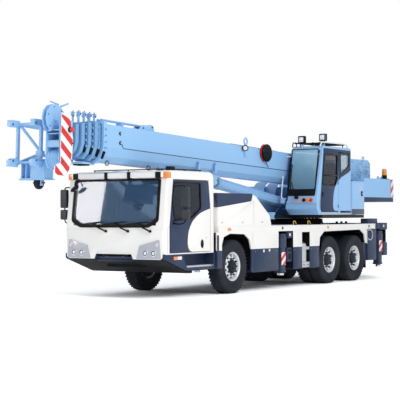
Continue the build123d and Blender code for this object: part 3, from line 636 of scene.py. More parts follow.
def make_rim(disc, hub, nut_ring, nut_along, behind):
    """Rim, disc with ten round holes, hub and wheel nuts, and the dark drum behind, as three shapes."""
    band = (
        (0.29, -0.12), (0.3, -0.118), (0.3, -0.108), (0.287, -0.098), (0.262, -0.06), (0.262, 0.055),
        (0.276, 0.094), (0.287, 0.104), (0.301, 0.112), (0.301, 0.122), (0.293, 0.126), (0.28, 0.118),
        (0.268, 0.098), (0.254, 0.06), (0.25, -0.06), (0.276, -0.104),
    )
    barrel = turned(band, (0, 0, 0), ACROSS, steps=64, closed=True)
    plate_ring = turned(disc, (0, 0, 0), ACROSS, steps=60, closed=True)
    holes = ring_of(lambda: cross_bar(0, 0.226, -0.2, 0.2, 0.036), 10, (0, 0, 0), ACROSS)
    rim = joined(barrel, carved(plate_ring, holes))
    nuts = ring_of(
        lambda: joined(
            cross_bar(0, nut_ring, nut_along, nut_along + 0.026, 0.02, 6, edge=0.002),
            cross_bar(0, nut_ring, nut_along, nut_along + 0.04, 0.01, 10),
        ),
        10, (0, 0, 0), ACROSS, start=0.314,
    )
    drum = turned(((0, -0.11), (0.249, -0.11)) + behind, (0, 0, 0), ACROSS, steps=48)
    return kept(rim), kept(joined(turned(hub, (0, 0, 0), ACROSS), nuts)), kept(drum)


FRONT_RIM = make_rim(
    disc=(
        (0.256, 0.04), (0.245, 0.062), (0.232, 0.08), (0.205, 0.093), (0.18, 0.1), (0.08, 0.1),
        (0.08, 0.086), (0.176, 0.086), (0.202, 0.079), (0.226, 0.067), (0.236, 0.052), (0.252, 0.03),
    ),
    hub=(
        (0.0, 0.06), (0.146, 0.06), (0.148, 0.106), (0.144, 0.11), (0.14, 0.11), (0.134, 0.116),
        (0.126, 0.138), (0.112, 0.147), (0.074, 0.15), (0.066, 0.157), (0.06, 0.166), (0.0, 0.168),
    ),
    nut_ring=0.172, nut_along=0.099,
    behind=((0.249, 0.026), (0.233, 0.049), (0.223, 0.062), (0.2, 0.074), (0.0, 0.08)),
)
REAR_RIM = make_rim(
    disc=(
        (0.256, 0.082), (0.246, 0.076), (0.212, 0.062), (0.18, 0.054), (0.08, 0.054), (0.08, 0.04),
        (0.182, 0.04), (0.216, 0.048), (0.248, 0.06), (0.256, 0.066),
    ),
    hub=(
        (0.0, 0.03), (0.146, 0.03), (0.148, 0.058), (0.144, 0.063), (0.138, 0.064), (0.13, 0.07),
        (0.124, 0.092), (0.114, 0.104), (0.078, 0.108), (0.068, 0.118), (0.04, 0.122), (0.0, 0.122),
    ),
    nut_ring=0.172, nut_along=0.053, behind=((0.249, 0.054), (0.214, 0.043), (0.18, 0.036), (0.0, 0.036)),
)
TYRE = make_tyre()


def wheel_part(mesh, x, y, side, facing=1):
    """A wheel shape set on its axle. facing is -1 where its outer side looks towards the middle."""
    flip = side * facing
    shape = bmesh.new()
    shape.from_mesh(mesh)
    moved(shape, Matrix.Translation((x, y * side, WHEEL_R)) @ Matrix.Diagonal((1, flip, 1, 1)))
    if flip < 0:
        bmesh.ops.reverse_faces(shape, faces=shape.faces)
    return shape


def dress_wheel(body, tyre_node, rim_node, side, x, places):
    """The tyres and rims of one wheel body. places are how far out its wheels stand."""
    tyres = Piece(body + "_tyres", body)
    rims = Piece(body + "_rims", body)
    tyres.add(TYRE_RUBBER, *[wheel_part(TYRE, x, y, side) for y in places])
    rim, hub, behind = FRONT_RIM if len(places) == 1 else REAR_RIM
    rims.add(RIM_PAINT, wheel_part(rim, x, places[0], side))
    rims.add(HUB_PAINT, wheel_part(hub, x, places[0], side))
    rims.add(CHASSIS_BLACK, wheel_part(behind, x, places[0], side))
    for y in places[1:]:
        rims.add(RIM_PAINT, wheel_part(REAR_RIM[0], x, y, side, facing=-1))
        start, end = (x, side * (y - 0.1), WHEEL_R), (x, side * (y + 0.24), WHEEL_R)
        rims.add(CHASSIS_BLACK, rod(start, end, 0.2, 40, edge=0.01))
    tyres.done("rubber", [tyre_node])
    rims.done("rim_white", [rim_node])


def dress_wheels():
    for name, side in SIDES:
        dress_wheel(f"front_wheel_{name}", f"front_tyre_{name}", f"front_rim_{name}", side, 0.0, (1.05,))
    for row, x in ((2, -4.28), (3, -5.6)):
        for name, side in SIDES:
            end = f"{row}_{name}"
            dress_wheel(
                f"rear_wheels_{end}", f"rear_tyres_{end}", f"rear_rims_{end}", side, x, (1.065, 0.73)
            )


# --- Driver's cab ---
CAB_SIDE = 1.19
DOOR_REACH = (1.1, 1.25)
SEAT_Y = 0.59


def cab_front_x(z):
    """Outer face of the cab's front above the belt line."""
    return 2.47 - (z - 1.35) * 0.12 / 0.95


def on_screen(points, proud=0.0):
    """Points in Y and Z laid on the raked front."""
    return [(cab_front_x(z) + proud, y, z) for y, z in points]


def cushion(low, high, crown, axis, corner=0.05):
    """A stuffed pad: rounded all over, its show side swollen in the middle."""
    shape = block(low[0], high[0], low[1], high[1], low[2], high[2], edge=corner, steps=4)
    bmesh.ops.subdivide_edges(shape, edges=shape.edges[:], cuts=2, use_grid_fill=True)
    low, high = Vector(low), Vector(high)
    middle, half = (low + high) / 2, (high - low) / 2
    flat = [i for i in range(3) if i != axis]
    for vert in shape.verts:
        share = [(vert.co[i] - middle[i]) / half[i] for i in range(3)]
        dome = max(0.0, 1 - share[flat[0]] ** 2) * max(0.0, 1 - share[flat[1]] ** 2)
        vert.co[axis] += math.copysign(crown, share[axis]) * dome * (share[axis] > 0)
        for i in flat:
            vert.co[i] -= share[i] * 0.06 * half[i] * share[axis] ** 2
    bmesh.ops.recalc_face_normals(shape, faces=shape.faces)
    return shape


def outer_cab_edge(middle, edge):
    side = abs(middle.y) > CAB_SIDE - 0.005
    front = middle.x > 2.3 and middle.z > 0.87
    roof = middle.z > 2.38
    rear = middle.x < 0.76 and middle.z > 0.87
    if side and (front or roof or rear):
        return True
    across = abs(middle.y) < 0.01
    return across and (middle.z > 2.45 or middle.x > 2.465)


def dress_cab_body():
    cab = Piece("cab_body", "carrier")
    cab.add(WHITE_PAINT, shell_copy("driver_cab_shell", 0.045, outer_cab_edge))
    fascia = [
        (-1.15, 0.8), (-1.1, 0.765), (-0.465, 0.765), (-0.4, 0.912), (0.4, 0.912), (0.465, 0.765),
        (1.1, 0.765), (1.15, 0.8), (1.15, 1.335), (-1.15, 1.335),
    ]
    cab.add(
        WHITE_PAINT,
        front_plate(fascia, 2.425, 2.479, corner={0: 0.02, 3: 0.03, 4: 0.03, 7: 0.02}, edge=0.006),
        block(2.28, 2.392, -1.1, 1.1, 2.318, 2.432, edge=0.022, steps=4),
    )
    for y in (-0.62, -0.22, 0.22, 0.62):
        cab.add(WHITE_PAINT, block(1.0, 2.12, y - 0.05, y + 0.05, 2.455, 2.47))
    seam = [(2.36, 0.875), (2.36, 1.35), (2.33, 1.4)]
    cab.pair(LAMP_GREY, pipe([(x, CAB_SIDE + 0.001, z) for x, z in seam], 0.004, bend=0.01))
    cab.done("off_white", ["driver_cab_shell"])


def dress_windscreen():
    """Its black surround with the wipers, and the pane."""
    screen = Piece("windscreen_surround", "carrier")
    outer_line = [
        (-1.045, 2.305), (1.045, 2.305), (1.05, 1.49), (0.83, 1.368), (-0.83, 1.368), (-1.05, 1.49),
    ]
    inner_line = [
        (-0.985, 2.262), (0.985, 2.262), (0.985, 1.545), (0.775, 1.425), (-0.775, 1.425), (-0.985, 1.545),
    ]
    screen.add(
        SMOOTH_BLACK,
        carved(
            plate(on_screen(outer_line, -0.004), (0.014, 0, 0.002), corner=0.05),
            plate(on_screen(inner_line, -0.05), (0.1, 0, 0.012), corner=0.05, edge=0),
        ),
    )
    for pivot, tip in ((-0.17, -0.53), (0.36, 0.02), (0.88, 0.56)):
        foot = Vector((cab_front_x(1.3) + 0.004, pivot, 1.3))
        end = Vector((cab_front_x(1.46) + 0.03, tip, 1.46))
        screen.add(
            BLACK_PLASTIC, rod(foot, foot + Vector((0.035, 0, 0.004)), 0.026, edge=0.005),
            pipe([foot + Vector((0.03, 0, 0)), (end + foot) / 2 + Vector((0.03, 0, -0.01)), end], 0.015),
        )
        blade_low = Vector((cab_front_x(1.44) + 0.02, tip - 0.27, 1.435))
        blade_high = Vector((cab_front_x(1.48) + 0.02, tip + 0.27, 1.485))
        screen.add(BLACK_PLASTIC, pipe([blade_low, end, blade_high], 0.009, bend=0.1))
    screen.done("black_plastic")
    pane = Piece("windscreen_pane", "carrier")
    pane_line = [(-1.0, 2.275), (1.0, 2.275), (1.0, 1.54), (0.785, 1.412), (-0.785, 1.412), (-1.0, 1.54)]
    pane.add(SCREEN_GLASS, plate(on_screen(pane_line, -0.022), (0.006, 0, 0.001), corner=0.04, edge=0))
    pane.done("glass", ["driver_cab_glass"])


def dress_headlamps():
    front = Piece("front_lamps", "carrier")
    outline = [(0.555, 0.775), (0.625, 1.03), (1.085, 1.145), (1.115, 0.775)]
    front.pair(LAMP_GREY, front_plate(outline, 2.476, 2.497, corner=0.02, edge=0.005))
    for y, z, radius in ((0.765, 0.885, 0.062), (0.955, 0.885, 0.062), (1.03, 1.05, 0.04)):
        ring = [
            (radius, 0.0), (radius + 0.004, 0.008), (radius, 0.014), (radius - 0.012, 0.012),
            (radius - 0.016, 0.0),
        ]
        front.pair(BRIGHT_STEEL, turned(ring, (2.494, y, z), ALONG, 36, closed=True))
        bowl = [(0, 0.003), (radius * 0.5, 0.004), (radius - 0.014, 0.009), (radius - 0.014, 0)]
        front.pair(SMOOTH_BLACK, turned(bowl, (2.495, y, z), ALONG, 36))
        dome = [
            (0, 0.017), (radius * 0.22, 0.0165), (radius * 0.44, 0.013), (radius * 0.56, 0.007),
            (radius * 0.56, 0.001), (0, 0.001),
        ]
        front.pair(CLEAR_LENS, turned(dome, (2.4965, y, z), ALONG, 36))
    front.done("lamp_grey", ["headlamps"])


def dress_marker_lamps():
    markers = Piece("cab_marker_lamps", "carrier")
    markers.pair(ORANGE_LENS, block(2.235, 2.372, 1.055, 1.198, 2.305, 2.425, edge=0.02, steps=4))
    markers.pair(BLACK_PLASTIC, block(2.3, 2.402, 0.93, 1.056, 2.31, 2.43, edge=0.01))
    markers.pair(ORANGE_LENS, block(2.045, 2.17, 1.185, 1.207, 0.752, 0.818, edge=0.008))
    markers.pair(CLEAR_LENS, block(1.9, 2.035, 1.185, 1.205, 0.752, 0.818, edge=0.008))
    for y in (-0.24, 0.31):
        markers.add(BLACK_PLASTIC, block(2.36, 2.41, y - 0.035, y + 0.035, 2.3, 2.44, edge=0.008))
    markers.done("lamp_grey")


def dress_bumper():
    """Bumper, towing hook and the steps below the doors."""
    bumper = Piece("bumper_and_steps", "carrier")
    chin = [(2.474, 0.862), (2.474, 0.77), (1.61, 0.491), (1.5, 0.491), (1.5, 0.862)]
    recess = block(2.33, 2.6, -0.42, 0.42, 0.728, 0.98, edge=0)
    bumper.add(NAVY_PAINT, carved(side_plate(chin, -0.93, 0.93, edge=0.008), recess))
    skin = [(2.474, 0.866), (2.474, 0.775), (1.73, 0.535), (0.64, 0.535), (0.64, 0.866)]
    well = [(1.86, 0.835), (1.715, 0.618), (0.75, 0.618), (0.75, 0.858)]
    bumper.pair(
        NAVY_PAINT,
        carved(
            side_plate(skin, 0.925, CAB_SIDE, edge=0.008),
            side_plate(well, 0.965, 1.3, corner=0.01, edge=0),
        ),
    )
    # Black plate under the bumper: painted shade on its underside.
    under = [(2.472, 0.766), (1.61, 0.487), (1.5, 0.487), (1.5, 0.482), (1.62, 0.48), (2.47, 0.758)]
    bumper.pair(CHASSIS_BLACK, side_plate(under, 0.0, 1.175, edge=0))
    flank = [(1.74, 0.531), (1.61, 0.489), (1.5, 0.489), (1.5, 0.536)]
    bumper.pair(CHASSIS_BLACK, side_plate(flank, 0.9, 1.175))
    # Black sheet under the steps: painted shade on the underside.
    tray = [(0.645, 0.531), (1.5, 0.531), (1.5, 0.526), (0.645, 0.526)]
    bumper.pair(CHASSIS_BLACK, side_plate(tray, 0.0, 1.18, edge=0))
    bumper.pair(BLACK_PLASTIC, block(0.752, 1.712, 0.968, 1.165, 0.615, 0.626, edge=0.003))
    bumper.pair(BRIGHT_STEEL, block(0.752, 1.712, 1.16, 1.196, 0.594, 0.628))
    for i in range(9):
        x = 0.83 + i * 0.1
        bumper.pair(BRIGHT_STEEL, block(x - 0.03, x + 0.03, 0.99, 1.15, 0.622, 0.631, edge=0.003))
    hook = turned(
        [(0.0, 0.0), (0.05, 0.0), (0.052, 0.03), (0.046, 0.06), (0.03, 0.075), (0.0, 0.078)],
        (2.37, 0.27, 0.835), ALONG, 28,
    )
    bumper.pair(BLACK_PLASTIC, hook)
    bumper.pair(CAST_IRON, rod((2.38, 0.2, 0.8), (2.44, 0.2, 0.8), 0.022, edge=0.004))
    # The black sheet at the back of the bumper's hollow is painted shadow.
    bumper.add(CHASSIS_BLACK, block(2.372, 2.38, -0.38, 0.38, 0.78, 0.89, edge=0.002))
    bumper.add(NAVY_PAINT, block(2.385, 2.445, -0.418, 0.418, 0.722, 0.812, edge=0.012))
    bumper.done("navy", ["cab_bumper"])


DOOR_LINE = [(2.165, 2.283), (0.935, 2.283), (0.866, 1.74), (0.866, 0.888), (2.283, 0.888), (2.292, 1.38)]
DOOR_GLASS = [(2.135, 2.235), (1.22, 2.235), (1.2, 1.73), (1.55, 1.535), (2.125, 1.505), (2.2, 1.85)]
DOOR_SWEEP = [
    (0.87, 1.735), (1.07, 1.69), (1.24, 1.64), (1.38, 1.57), (1.5, 1.49), (1.58, 1.4), (1.64, 1.3),
    (1.67, 1.19), (1.68, 1.07), (1.66, 0.98), (1.61, 0.92), (1.54, 0.895), (0.87, 0.892),
]


def grown(points, margin):
    """An outline moved outwards by a margin, about its middle."""
    middle = sum((Vector(point) for point in points), Vector((0, 0))) / len(points)
    wide = []
    for point in points:
        away = Vector(point) - middle
        wide.append(tuple(middle + away * (1 + margin / away.length)))
    return wide


def dress_driver_doors():
    for name, side in SIDES:
        door = Piece(f"door_{name}", f"driver_door_{name}", side=side)
        skin = framed(DOOR_LINE, DOOR_GLASS, 1.152, CAB_SIDE, 0.03, 0.05, edge=0.005, reach=DOOR_REACH)
        door.add(NAVY_PAINT, skin)
        gasket = framed(
            grown(DOOR_GLASS, 0.022), grown(DOOR_GLASS, -0.016), 1.158, CAB_SIDE + 0.005, 0.06, 0.045,
            reach=DOOR_REACH,
        )
        door.add(SMOOTH_BLACK, gasket)
        door.add(TINTED_GLASS, side_plate(DOOR_GLASS, 1.17, 1.176, corner=0.05, edge=0))
        sweep = side_plate(DOOR_SWEEP, CAB_SIDE - 0.004, CAB_SIDE + 0.002, corner=0.02, edge=0.001)
        door.add(WHITE_PAINT, sweep)
        recess = cross_bar(1.17, 1.04, CAB_SIDE + 0.001, CAB_SIDE + 0.006, 0.06, 32, edge=0.002)
        bmesh.ops.scale(
            recess, vec=(0.9, 1, 1.45), verts=recess.verts, space=Matrix.Translation((-1.17, 0, -1.04))
        )
        door.add(SMOOTH_BLACK, recess)
        door.add(BLACK_PLASTIC, block(1.155, 1.185, CAB_SIDE, CAB_SIDE + 0.014, 0.985, 1.095))
        door.add(BRIGHT_STEEL, cross_bar(1.02, 1.16, CAB_SIDE, CAB_SIDE + 0.006, 0.014, 16, edge=0.002))
        liner = framed(
            grown(DOOR_LINE, -0.06), grown(DOOR_GLASS, 0.01), 1.138, 1.154, 0.05, 0.06, edge=0.004,
            reach=DOOR_REACH,
        )
        door.add(
            BLACK_PLASTIC, liner,
            pipe(
                [(1.3, 1.14, 1.3), (1.3, 1.09, 1.3), (1.75, 1.09, 1.34), (1.75, 1.14, 1.34)], 0.012,
                bend=0.03,
            ),
        )
        door.done("navy", [f"driver_door_{name}"])


def dress_door_mirrors():
    for name, side in SIDES:
        mirrors = Piece(f"door_mirror_{name}", f"driver_door_{name}", side=side)
        x = 2.16
        arm = [
            (x, 1.18, 2.14), (x, 1.3, 2.165), (x, 1.46, 2.165), (x, 1.46, 1.47), (x, 1.34, 1.43),
            (x, 1.18, 1.45),
        ]
        mirrors.add(
            BLACK_PLASTIC, pipe(arm, 0.013, bend=0.05), pipe([(x, 1.18, 1.485), (x, 1.46, 1.6)], 0.01)
        )
        for z in (2.14, 1.45):
            mirrors.add(BLACK_PLASTIC, cross_bar(x, z, 1.192, 1.212, 0.024, edge=0.004))
        for z_low, z_high in ((1.755, 2.125), (1.52, 1.72)):
            house = block(x - 0.045, x + 0.045, 1.38, 1.552, z_low, z_high, edge=0.032, steps=5)
            mirrors.add(MIRROR_SHELL, house)
            face = block(x - 0.049, x - 0.04, 1.398, 1.534, z_low + 0.022, z_high - 0.022, edge=0.004)
            mirrors.add(MIRROR_FACE, face)
        mirrors.done("black_plastic", [f"mirror_{name}"])


def dress_ramp_mirror():
    """The round mirror above the left corner of the windscreen."""
    ramp = Piece("front_ramp_mirror", "carrier")
    ramp.add(
        BLACK_PLASTIC,
        pipe([(2.34, -0.92, 2.28), (2.45, -0.94, 2.24), (2.47, -0.95, 2.15)], 0.01, bend=0.04),
    )
    for reach, along, finish in ((0.11, 0.03, BLACK_PLASTIC), (0.095, -0.022, MIRROR_FACE)):
        bowl = turned(
            [(0, 0), (reach * 0.7, 0), (reach, along * 0.4), (reach * 0.6, along), (0, along * 1.2)],
            (0, 0, 0), ALONG, 32,
        )
        bmesh.ops.scale(bowl, vec=(1, 1, 0.42), verts=bowl.verts)
        tilt = Matrix.Translation((2.47, -0.95, 2.13)) @ Matrix.Rotation(math.radians(28), 4, "X")
        ramp.add(finish, moved(bowl, tilt))
    ramp.done("black_plastic")


def dress_cab_roof():
    """Rail, work lamp and horn."""
    roof = Piece("cab_roof_fittings", "carrier")
    roof.add(
        BLACK_PLASTIC,
        pipe(
            [(2.12, -0.75, 2.488), (2.12, 0.98, 2.488), (1.95, 1.06, 2.488), (1.0, 1.06, 2.488)], 0.011,
            bend=0.06,
        ),
    )
    for x, y in ((2.12, -0.72), (2.12, 0.1), (2.12, 0.9), (1.6, 1.06), (1.05, 1.06)):
        roof.add(BLACK_PLASTIC, rod((x, y, 2.452), (x, y, 2.49), 0.012, 12))
    roof.add(BLACK_PLASTIC, block(1.87, 2.06, 0.93, 1.04, 2.462, 2.545, edge=0.02, steps=4))
    roof.add(
        BRIGHT_STEEL,
        turned(
            [(0.0, 0.0), (0.02, 0.0), (0.03, 0.1), (0.05, 0.15), (0.046, 0.15), (0.02, 0.09)],
            (1.55, 0.5, 2.5), ALONG, 24,
        ),
    )
    roof.add(BLACK_PLASTIC, block(1.58, 1.64, 0.47, 0.53, 2.455, 2.5))
    roof.done("black_plastic")


def dress_cab_inside():
    """Floor, dash, steering wheel, seat bases and lining."""
    inside = Piece("cab_interior", "carrier")
    inside.add(BLACK_PLASTIC, block(0.86, 2.36, -1.12, 1.12, 0.905, 0.93))
    dash = [(2.33, 0.93), (2.36, 1.36), (2.26, 1.42), (2.08, 1.4), (2.02, 1.3), (2.1, 0.93)]
    inside.add(BLACK_PLASTIC, side_plate(dash, -1.1, 1.1, corner=0.03, edge=0.01))
    inside.add(SMOOTH_BLACK, block(2.06, 2.16, 0.42, 0.82, 1.39, 1.46, edge=0.025, steps=4))
    inside.add(BLACK_PLASTIC, pipe([(2.12, 0.6, 1.25), (1.9, 0.6, 1.45)], 0.028))
    wheel_axis = Vector((-0.74, 0, 0.67))
    wheel_at_driver = Vector((1.88, 0.6, 1.47))
    rim_ring = round_bar(0.215, 0.014, 10)
    inside.add(
        SMOOTH_BLACK, turned(rim_ring, wheel_at_driver, wheel_axis, closed=True),
        turned(
            [(0, -0.03), (0.05, -0.03), (0.055, 0.0), (0.04, 0.012), (0, 0.015)], wheel_at_driver,
            wheel_axis, 24,
        ),
    )
    across = wheel_axis.cross(Vector(ACROSS)).normalized()
    for reach in (Vector(ACROSS), Vector((0, -1, 0)), across):
        inside.add(SMOOTH_BLACK, rod(wheel_at_driver, wheel_at_driver + reach * 0.21, 0.012, 10))
    for y in (SEAT_Y, -SEAT_Y):
        inside.add(BLACK_PLASTIC, block(0.99, 1.42, y - 0.17, y + 0.17, 0.93, 1.12, edge=0.03, steps=3))
    inside.add(
        CAB_LINING, block(0.775, 0.8, -1.1, 1.1, 0.93, 2.4, edge=0.004),
        block(0.8, 2.22, -1.1, 1.1, 2.385, 2.4, edge=0.004),
    )
    inside.pair(CAB_LINING, block(0.8, 0.86, 1.08, 1.135, 0.93, 2.385, edge=0.01))
    inside.add(CAB_LINING, block(0.8, 0.88, -0.62, 0.62, 0.93, 1.55, edge=0.03, steps=3))
    inside.done("black_plastic", ["driver_cab_interior"])


def dress_driver_seats():
    pads = Piece("driver_seat_pads", "carrier")
    for y in (SEAT_Y, -SEAT_Y):
        pads.add(
            SEAT_CLOTH, cushion((0.93, y - 0.25, 1.12), (1.42, y + 0.25, 1.27), 0.05, 2),
            cushion((0.91, y - 0.24, 1.22), (1.04, y + 0.24, 1.82), 0.04, 0),
            cushion((0.92, y - 0.13, 1.83), (1.02, y + 0.13, 1.99), 0.02, 0, 0.035),
        )
    pads.done("seat")


# --- Carrier body ---
def hood_edge(middle, edge):
    side = abs(middle.y) > 1.23 and middle.z > 1.38
    across = abs(middle.y) < 0.01 and middle.z > 1.7
    return side or across


def dress_engine_hood():
    hood = Piece("engine_hood_dressed", "carrier")
    intake = [(0.66, 2.1), (-0.67, 2.1), (-0.715, 2.0), (-0.655, 1.888), (0.66, 1.757)]
    hood_shape = shell_copy("engine_hood", 0.03, hood_edge)
    for side in (1, -1):
        hood_shape = carved(
            hood_shape, on_side(side_plate(intake, 1.095, 1.3, corner=0.02, edge=0), side)
        )
    hood.add(WHITE_PAINT, hood_shape)
    slope_in = Vector((1.32, 0, -0.131)).cross(Vector((0.66, -0.126, 0.29))).normalized()
    wedge = side_plate(grown(intake, 0.003), 1.075, 1.229, corner=0.02, edge=0)
    wedge = sliced(wedge, (0.66, 1.224, 1.762), slope_in)
    wedge = sliced(wedge, (0, 0, 2.047), (0, 0, 1))
    hood.pair(NAVY_PAINT, wedge)
    for i in range(3):
        rise = 0.16 + i * 0.26
        y = 1.224 - 0.126 * rise
        z_front, z_rear = 1.762 + 0.29 * rise, 1.893 + 0.155 * rise
        slat = plate(
            [
                (0.63, y - 0.004, z_front), (-0.62, y - 0.004, z_rear),
                (-0.62, y + 0.012, z_rear + 0.006), (0.63, y + 0.012, z_front + 0.006),
            ],
            (0, 0, 0.028), edge=0.004,
        )
        hood.pair(CHASSIS_BLACK, slat)
    seam = pipe([(-0.75, 1.2362, 1.4), (-0.75, 1.2362, 1.86), (-0.7, 1.2362, 1.93)], 0.003, bend=0.02)
    hood.pair(LAMP_GREY, seam)
    for x in (-1.1, -0.3, 0.5):
        hood.pair(LAMP_GREY, block(x - 0.022, x + 0.022, 1.232, 1.24, 1.435, 1.465, edge=0.004))
    for i in range(9):
        x = 0.5 - i * 0.12
        hood.add(NAVY_PAINT, block(x - 0.035, x + 0.035, -0.62, 0.62, 2.045, 2.056, edge=0.004))
    hood.done("off_white", ["engine_hood"])


# Left faces of the deck and of the side boxes.
CARRIER_SIDE, BOX_SIDE = 1.24, 1.236
BAY_REAR, BAY_FRONT, SLOT_X = -2.45, -1.79, -3.04
FENDER = [
    (0.69, 1.26), (0.69, 0.53), (0.505, 0.53), (0.51, 1.01), (0.44, 1.16), (0.2, 1.225), (-0.38, 1.205),
    (-0.575, 1.09), (-0.645, 0.88), (-0.645, 0.41), (-0.71, 0.41), (-0.71, 1.26),
]
LINER = [
    (0.625, 0.56), (0.61, 1.02), (0.5, 1.2), (0.2, 1.243), (-0.38, 1.243), (-0.62, 1.14), (-0.69, 0.9),
    (-0.69, 0.46),
]


def add_fenders(body):
    body.pair(SKIRT_PAINT, side_plate(FENDER, 1.205, CARRIER_SIDE, corner=0.012, edge=0.004))
    body.pair(NAVY_PAINT, block(0.625, 0.692, 1.232, 1.2435, 0.535, 1.2, edge=0.004))
    rear_liner = [
        (-3.7, 0.46), (-3.7, 0.9), (-3.74, 1.1), (-3.95, 1.235), (-5.84, 1.243), (-6.07, 1.15),
        (-6.17, 0.93), (-6.17, 0.6),
    ]
    inner = [(x * 0.998, z - 0.01) for x, z in reversed(rear_liner)]
    body.pair(CHASSIS_BLACK, side_plate(rear_liner + inner, 0.56, 1.21, edge=0))


def add_outrigger_bays(body):
    """Black plates on the walls, top and back of the bays the outriggers stand in, as painted shade of the
    recesses; with the boxes inside.
    """
    for x in (BAY_FRONT - 0.006, BAY_REAR):
        body.pair(CHASSIS_BLACK, block(x, x + 0.006, 0.62, BOX_SIDE, 0.42, 1.248, edge=0.001))
    body.pair(
        CHASSIS_BLACK, block(BAY_REAR, BAY_FRONT, 0.62, BOX_SIDE, 1.238, 1.249, edge=0.002),
        block(BAY_REAR + 0.02, BAY_FRONT - 0.02, 0.62, 0.68, 0.45, 0.86, edge=0.01),
    )
    for side in (1, -1):
        bay_x, near = (BAY_REAR, 1) if side > 0 else (BAY_FRONT, -1)
        for z_low, z_high, out in ((1.09, 1.236, 1.228), (0.57, 0.88, 1.215)):
            low, high = sorted((bay_x + near * 0.008, bay_x + near * 0.225))
            body.add(NAVY_PAINT, on_side(block(low, high, 1.07, out, z_low, z_high, edge=0.012), side))
        middle = bay_x + near * 0.13
        for z_low, z_high in ((0.62, 0.75), (0.79, 0.85)):
            # Black plates stand for the holes in the box face: painted shade.
            hole_shade = block(middle - 0.055, middle + 0.055, 1.21, 1.2175, z_low, z_high, edge=0.004)
            body.add(CHASSIS_BLACK, on_side(hole_shade, side))
        oval = cross_bar(middle, 1.165, 1.224, 1.233, 0.034, 24, edge=0.003)
        body.add(SIGN_WHITE, on_side(oval, side))


def add_box_faces(body):
    """Canister slots, arches, and the panels and studs of the side boxes."""
    # Black sheets inside the canister slot: painted shade of the recess.
    lining = carved(
        block(SLOT_X - 0.187, SLOT_X + 0.187, 0.936, 1.237, 0.41, 1.219, edge=0),
        block(SLOT_X - 0.181, SLOT_X + 0.181, 0.945, 1.3, 0.4, 1.209, edge=0),
    )
    body.pair(CHASSIS_BLACK, lining)
    inner = [(x * 0.985, z - 0.012) for x, z in reversed(LINER)]
    body.pair(CHASSIS_BLACK, side_plate(LINER + inner, 0.66, 1.21, edge=0))
    rear_arch = [
        (-3.69, 0.41), (-3.69, 0.88), (-3.72, 1.08), (-3.93, 1.215), (-5.84, 1.235), (-6.07, 1.12),
        (-6.14, 0.9), (-6.2, 0.9), (-6.2, 1.262), (-3.66, 1.262), (-3.66, 0.41),
    ]
    body.pair(SKIRT_PAINT, side_plate(rear_arch, 1.205, 1.241, corner=0.012, edge=0.004))
    panels = (
        (-1.75, -0.74, 0.915, 1.165), (-1.75, -0.74, 0.43, 0.872), (-2.82, -2.48, 0.915, 1.225),
        (-2.82, -2.48, 0.43, 0.872), (-3.64, -3.26, 0.915, 1.225), (-3.64, -3.26, 0.43, 0.872),
    )
    for x_low, x_high, z_low, z_high in panels:
        body.pair(SKIRT_PAINT, block(x_low, x_high, BOX_SIDE, 1.2435, z_low, z_high, edge=0.003))
    for x, z in ((-1.15, 0.84), (-1.39, 0.85)):
        spot = block(x - 0.028, x + 0.028, CARRIER_SIDE, 1.247, z - 0.028, z + 0.028)
        body.pair(SIGN_WHITE, spot)
    for x in (-0.8, -1.7, -2.51, -2.79, -3.3, -3.6):
        for z in (0.95, 0.83):
            body.pair(BRIGHT_STEEL, cross_bar(x, z, CARRIER_SIDE, 1.2485, 0.008, 10, edge=0.002))


def add_deck_edge(body):
    """Strips, lamps and lashing rings along the deck."""
    body.pair(
        WHITE_PAINT, block(-6.7, 0.6, BOX_SIDE, 1.2455, 1.352, 1.374, edge=0.004),
        block(-6.7, 0.6, BOX_SIDE, 1.2435, 1.248, 1.258, edge=0.003),
    )
    for x, half in ((0.24, 0.055), (-4.12, 0.028)):
        lamp = block(x - half, x + half, CARRIER_SIDE, 1.262, 1.285, 1.335, edge=0.01, steps=3)
        body.pair(ORANGE_LENS, lamp)
    for x in (-1.97, -6.33):
        body.pair(CAST_IRON, cross_bar(x, 1.315, CARRIER_SIDE, 1.252, 0.03, 24, edge=0.004))
    for x in (-2.74, -3.42):
        loop = round_bar(0.06, 0.009, 8)
        body.pair(YELLOW_PAINT, turned(loop, (x, 1.12, 1.405), (0, 1, 0.25), 28, closed=True))
        body.pair(CHASSIS_BLACK, block(x - 0.04, x + 0.04, 1.085, 1.155, 1.365, 1.395, edge=0.008))


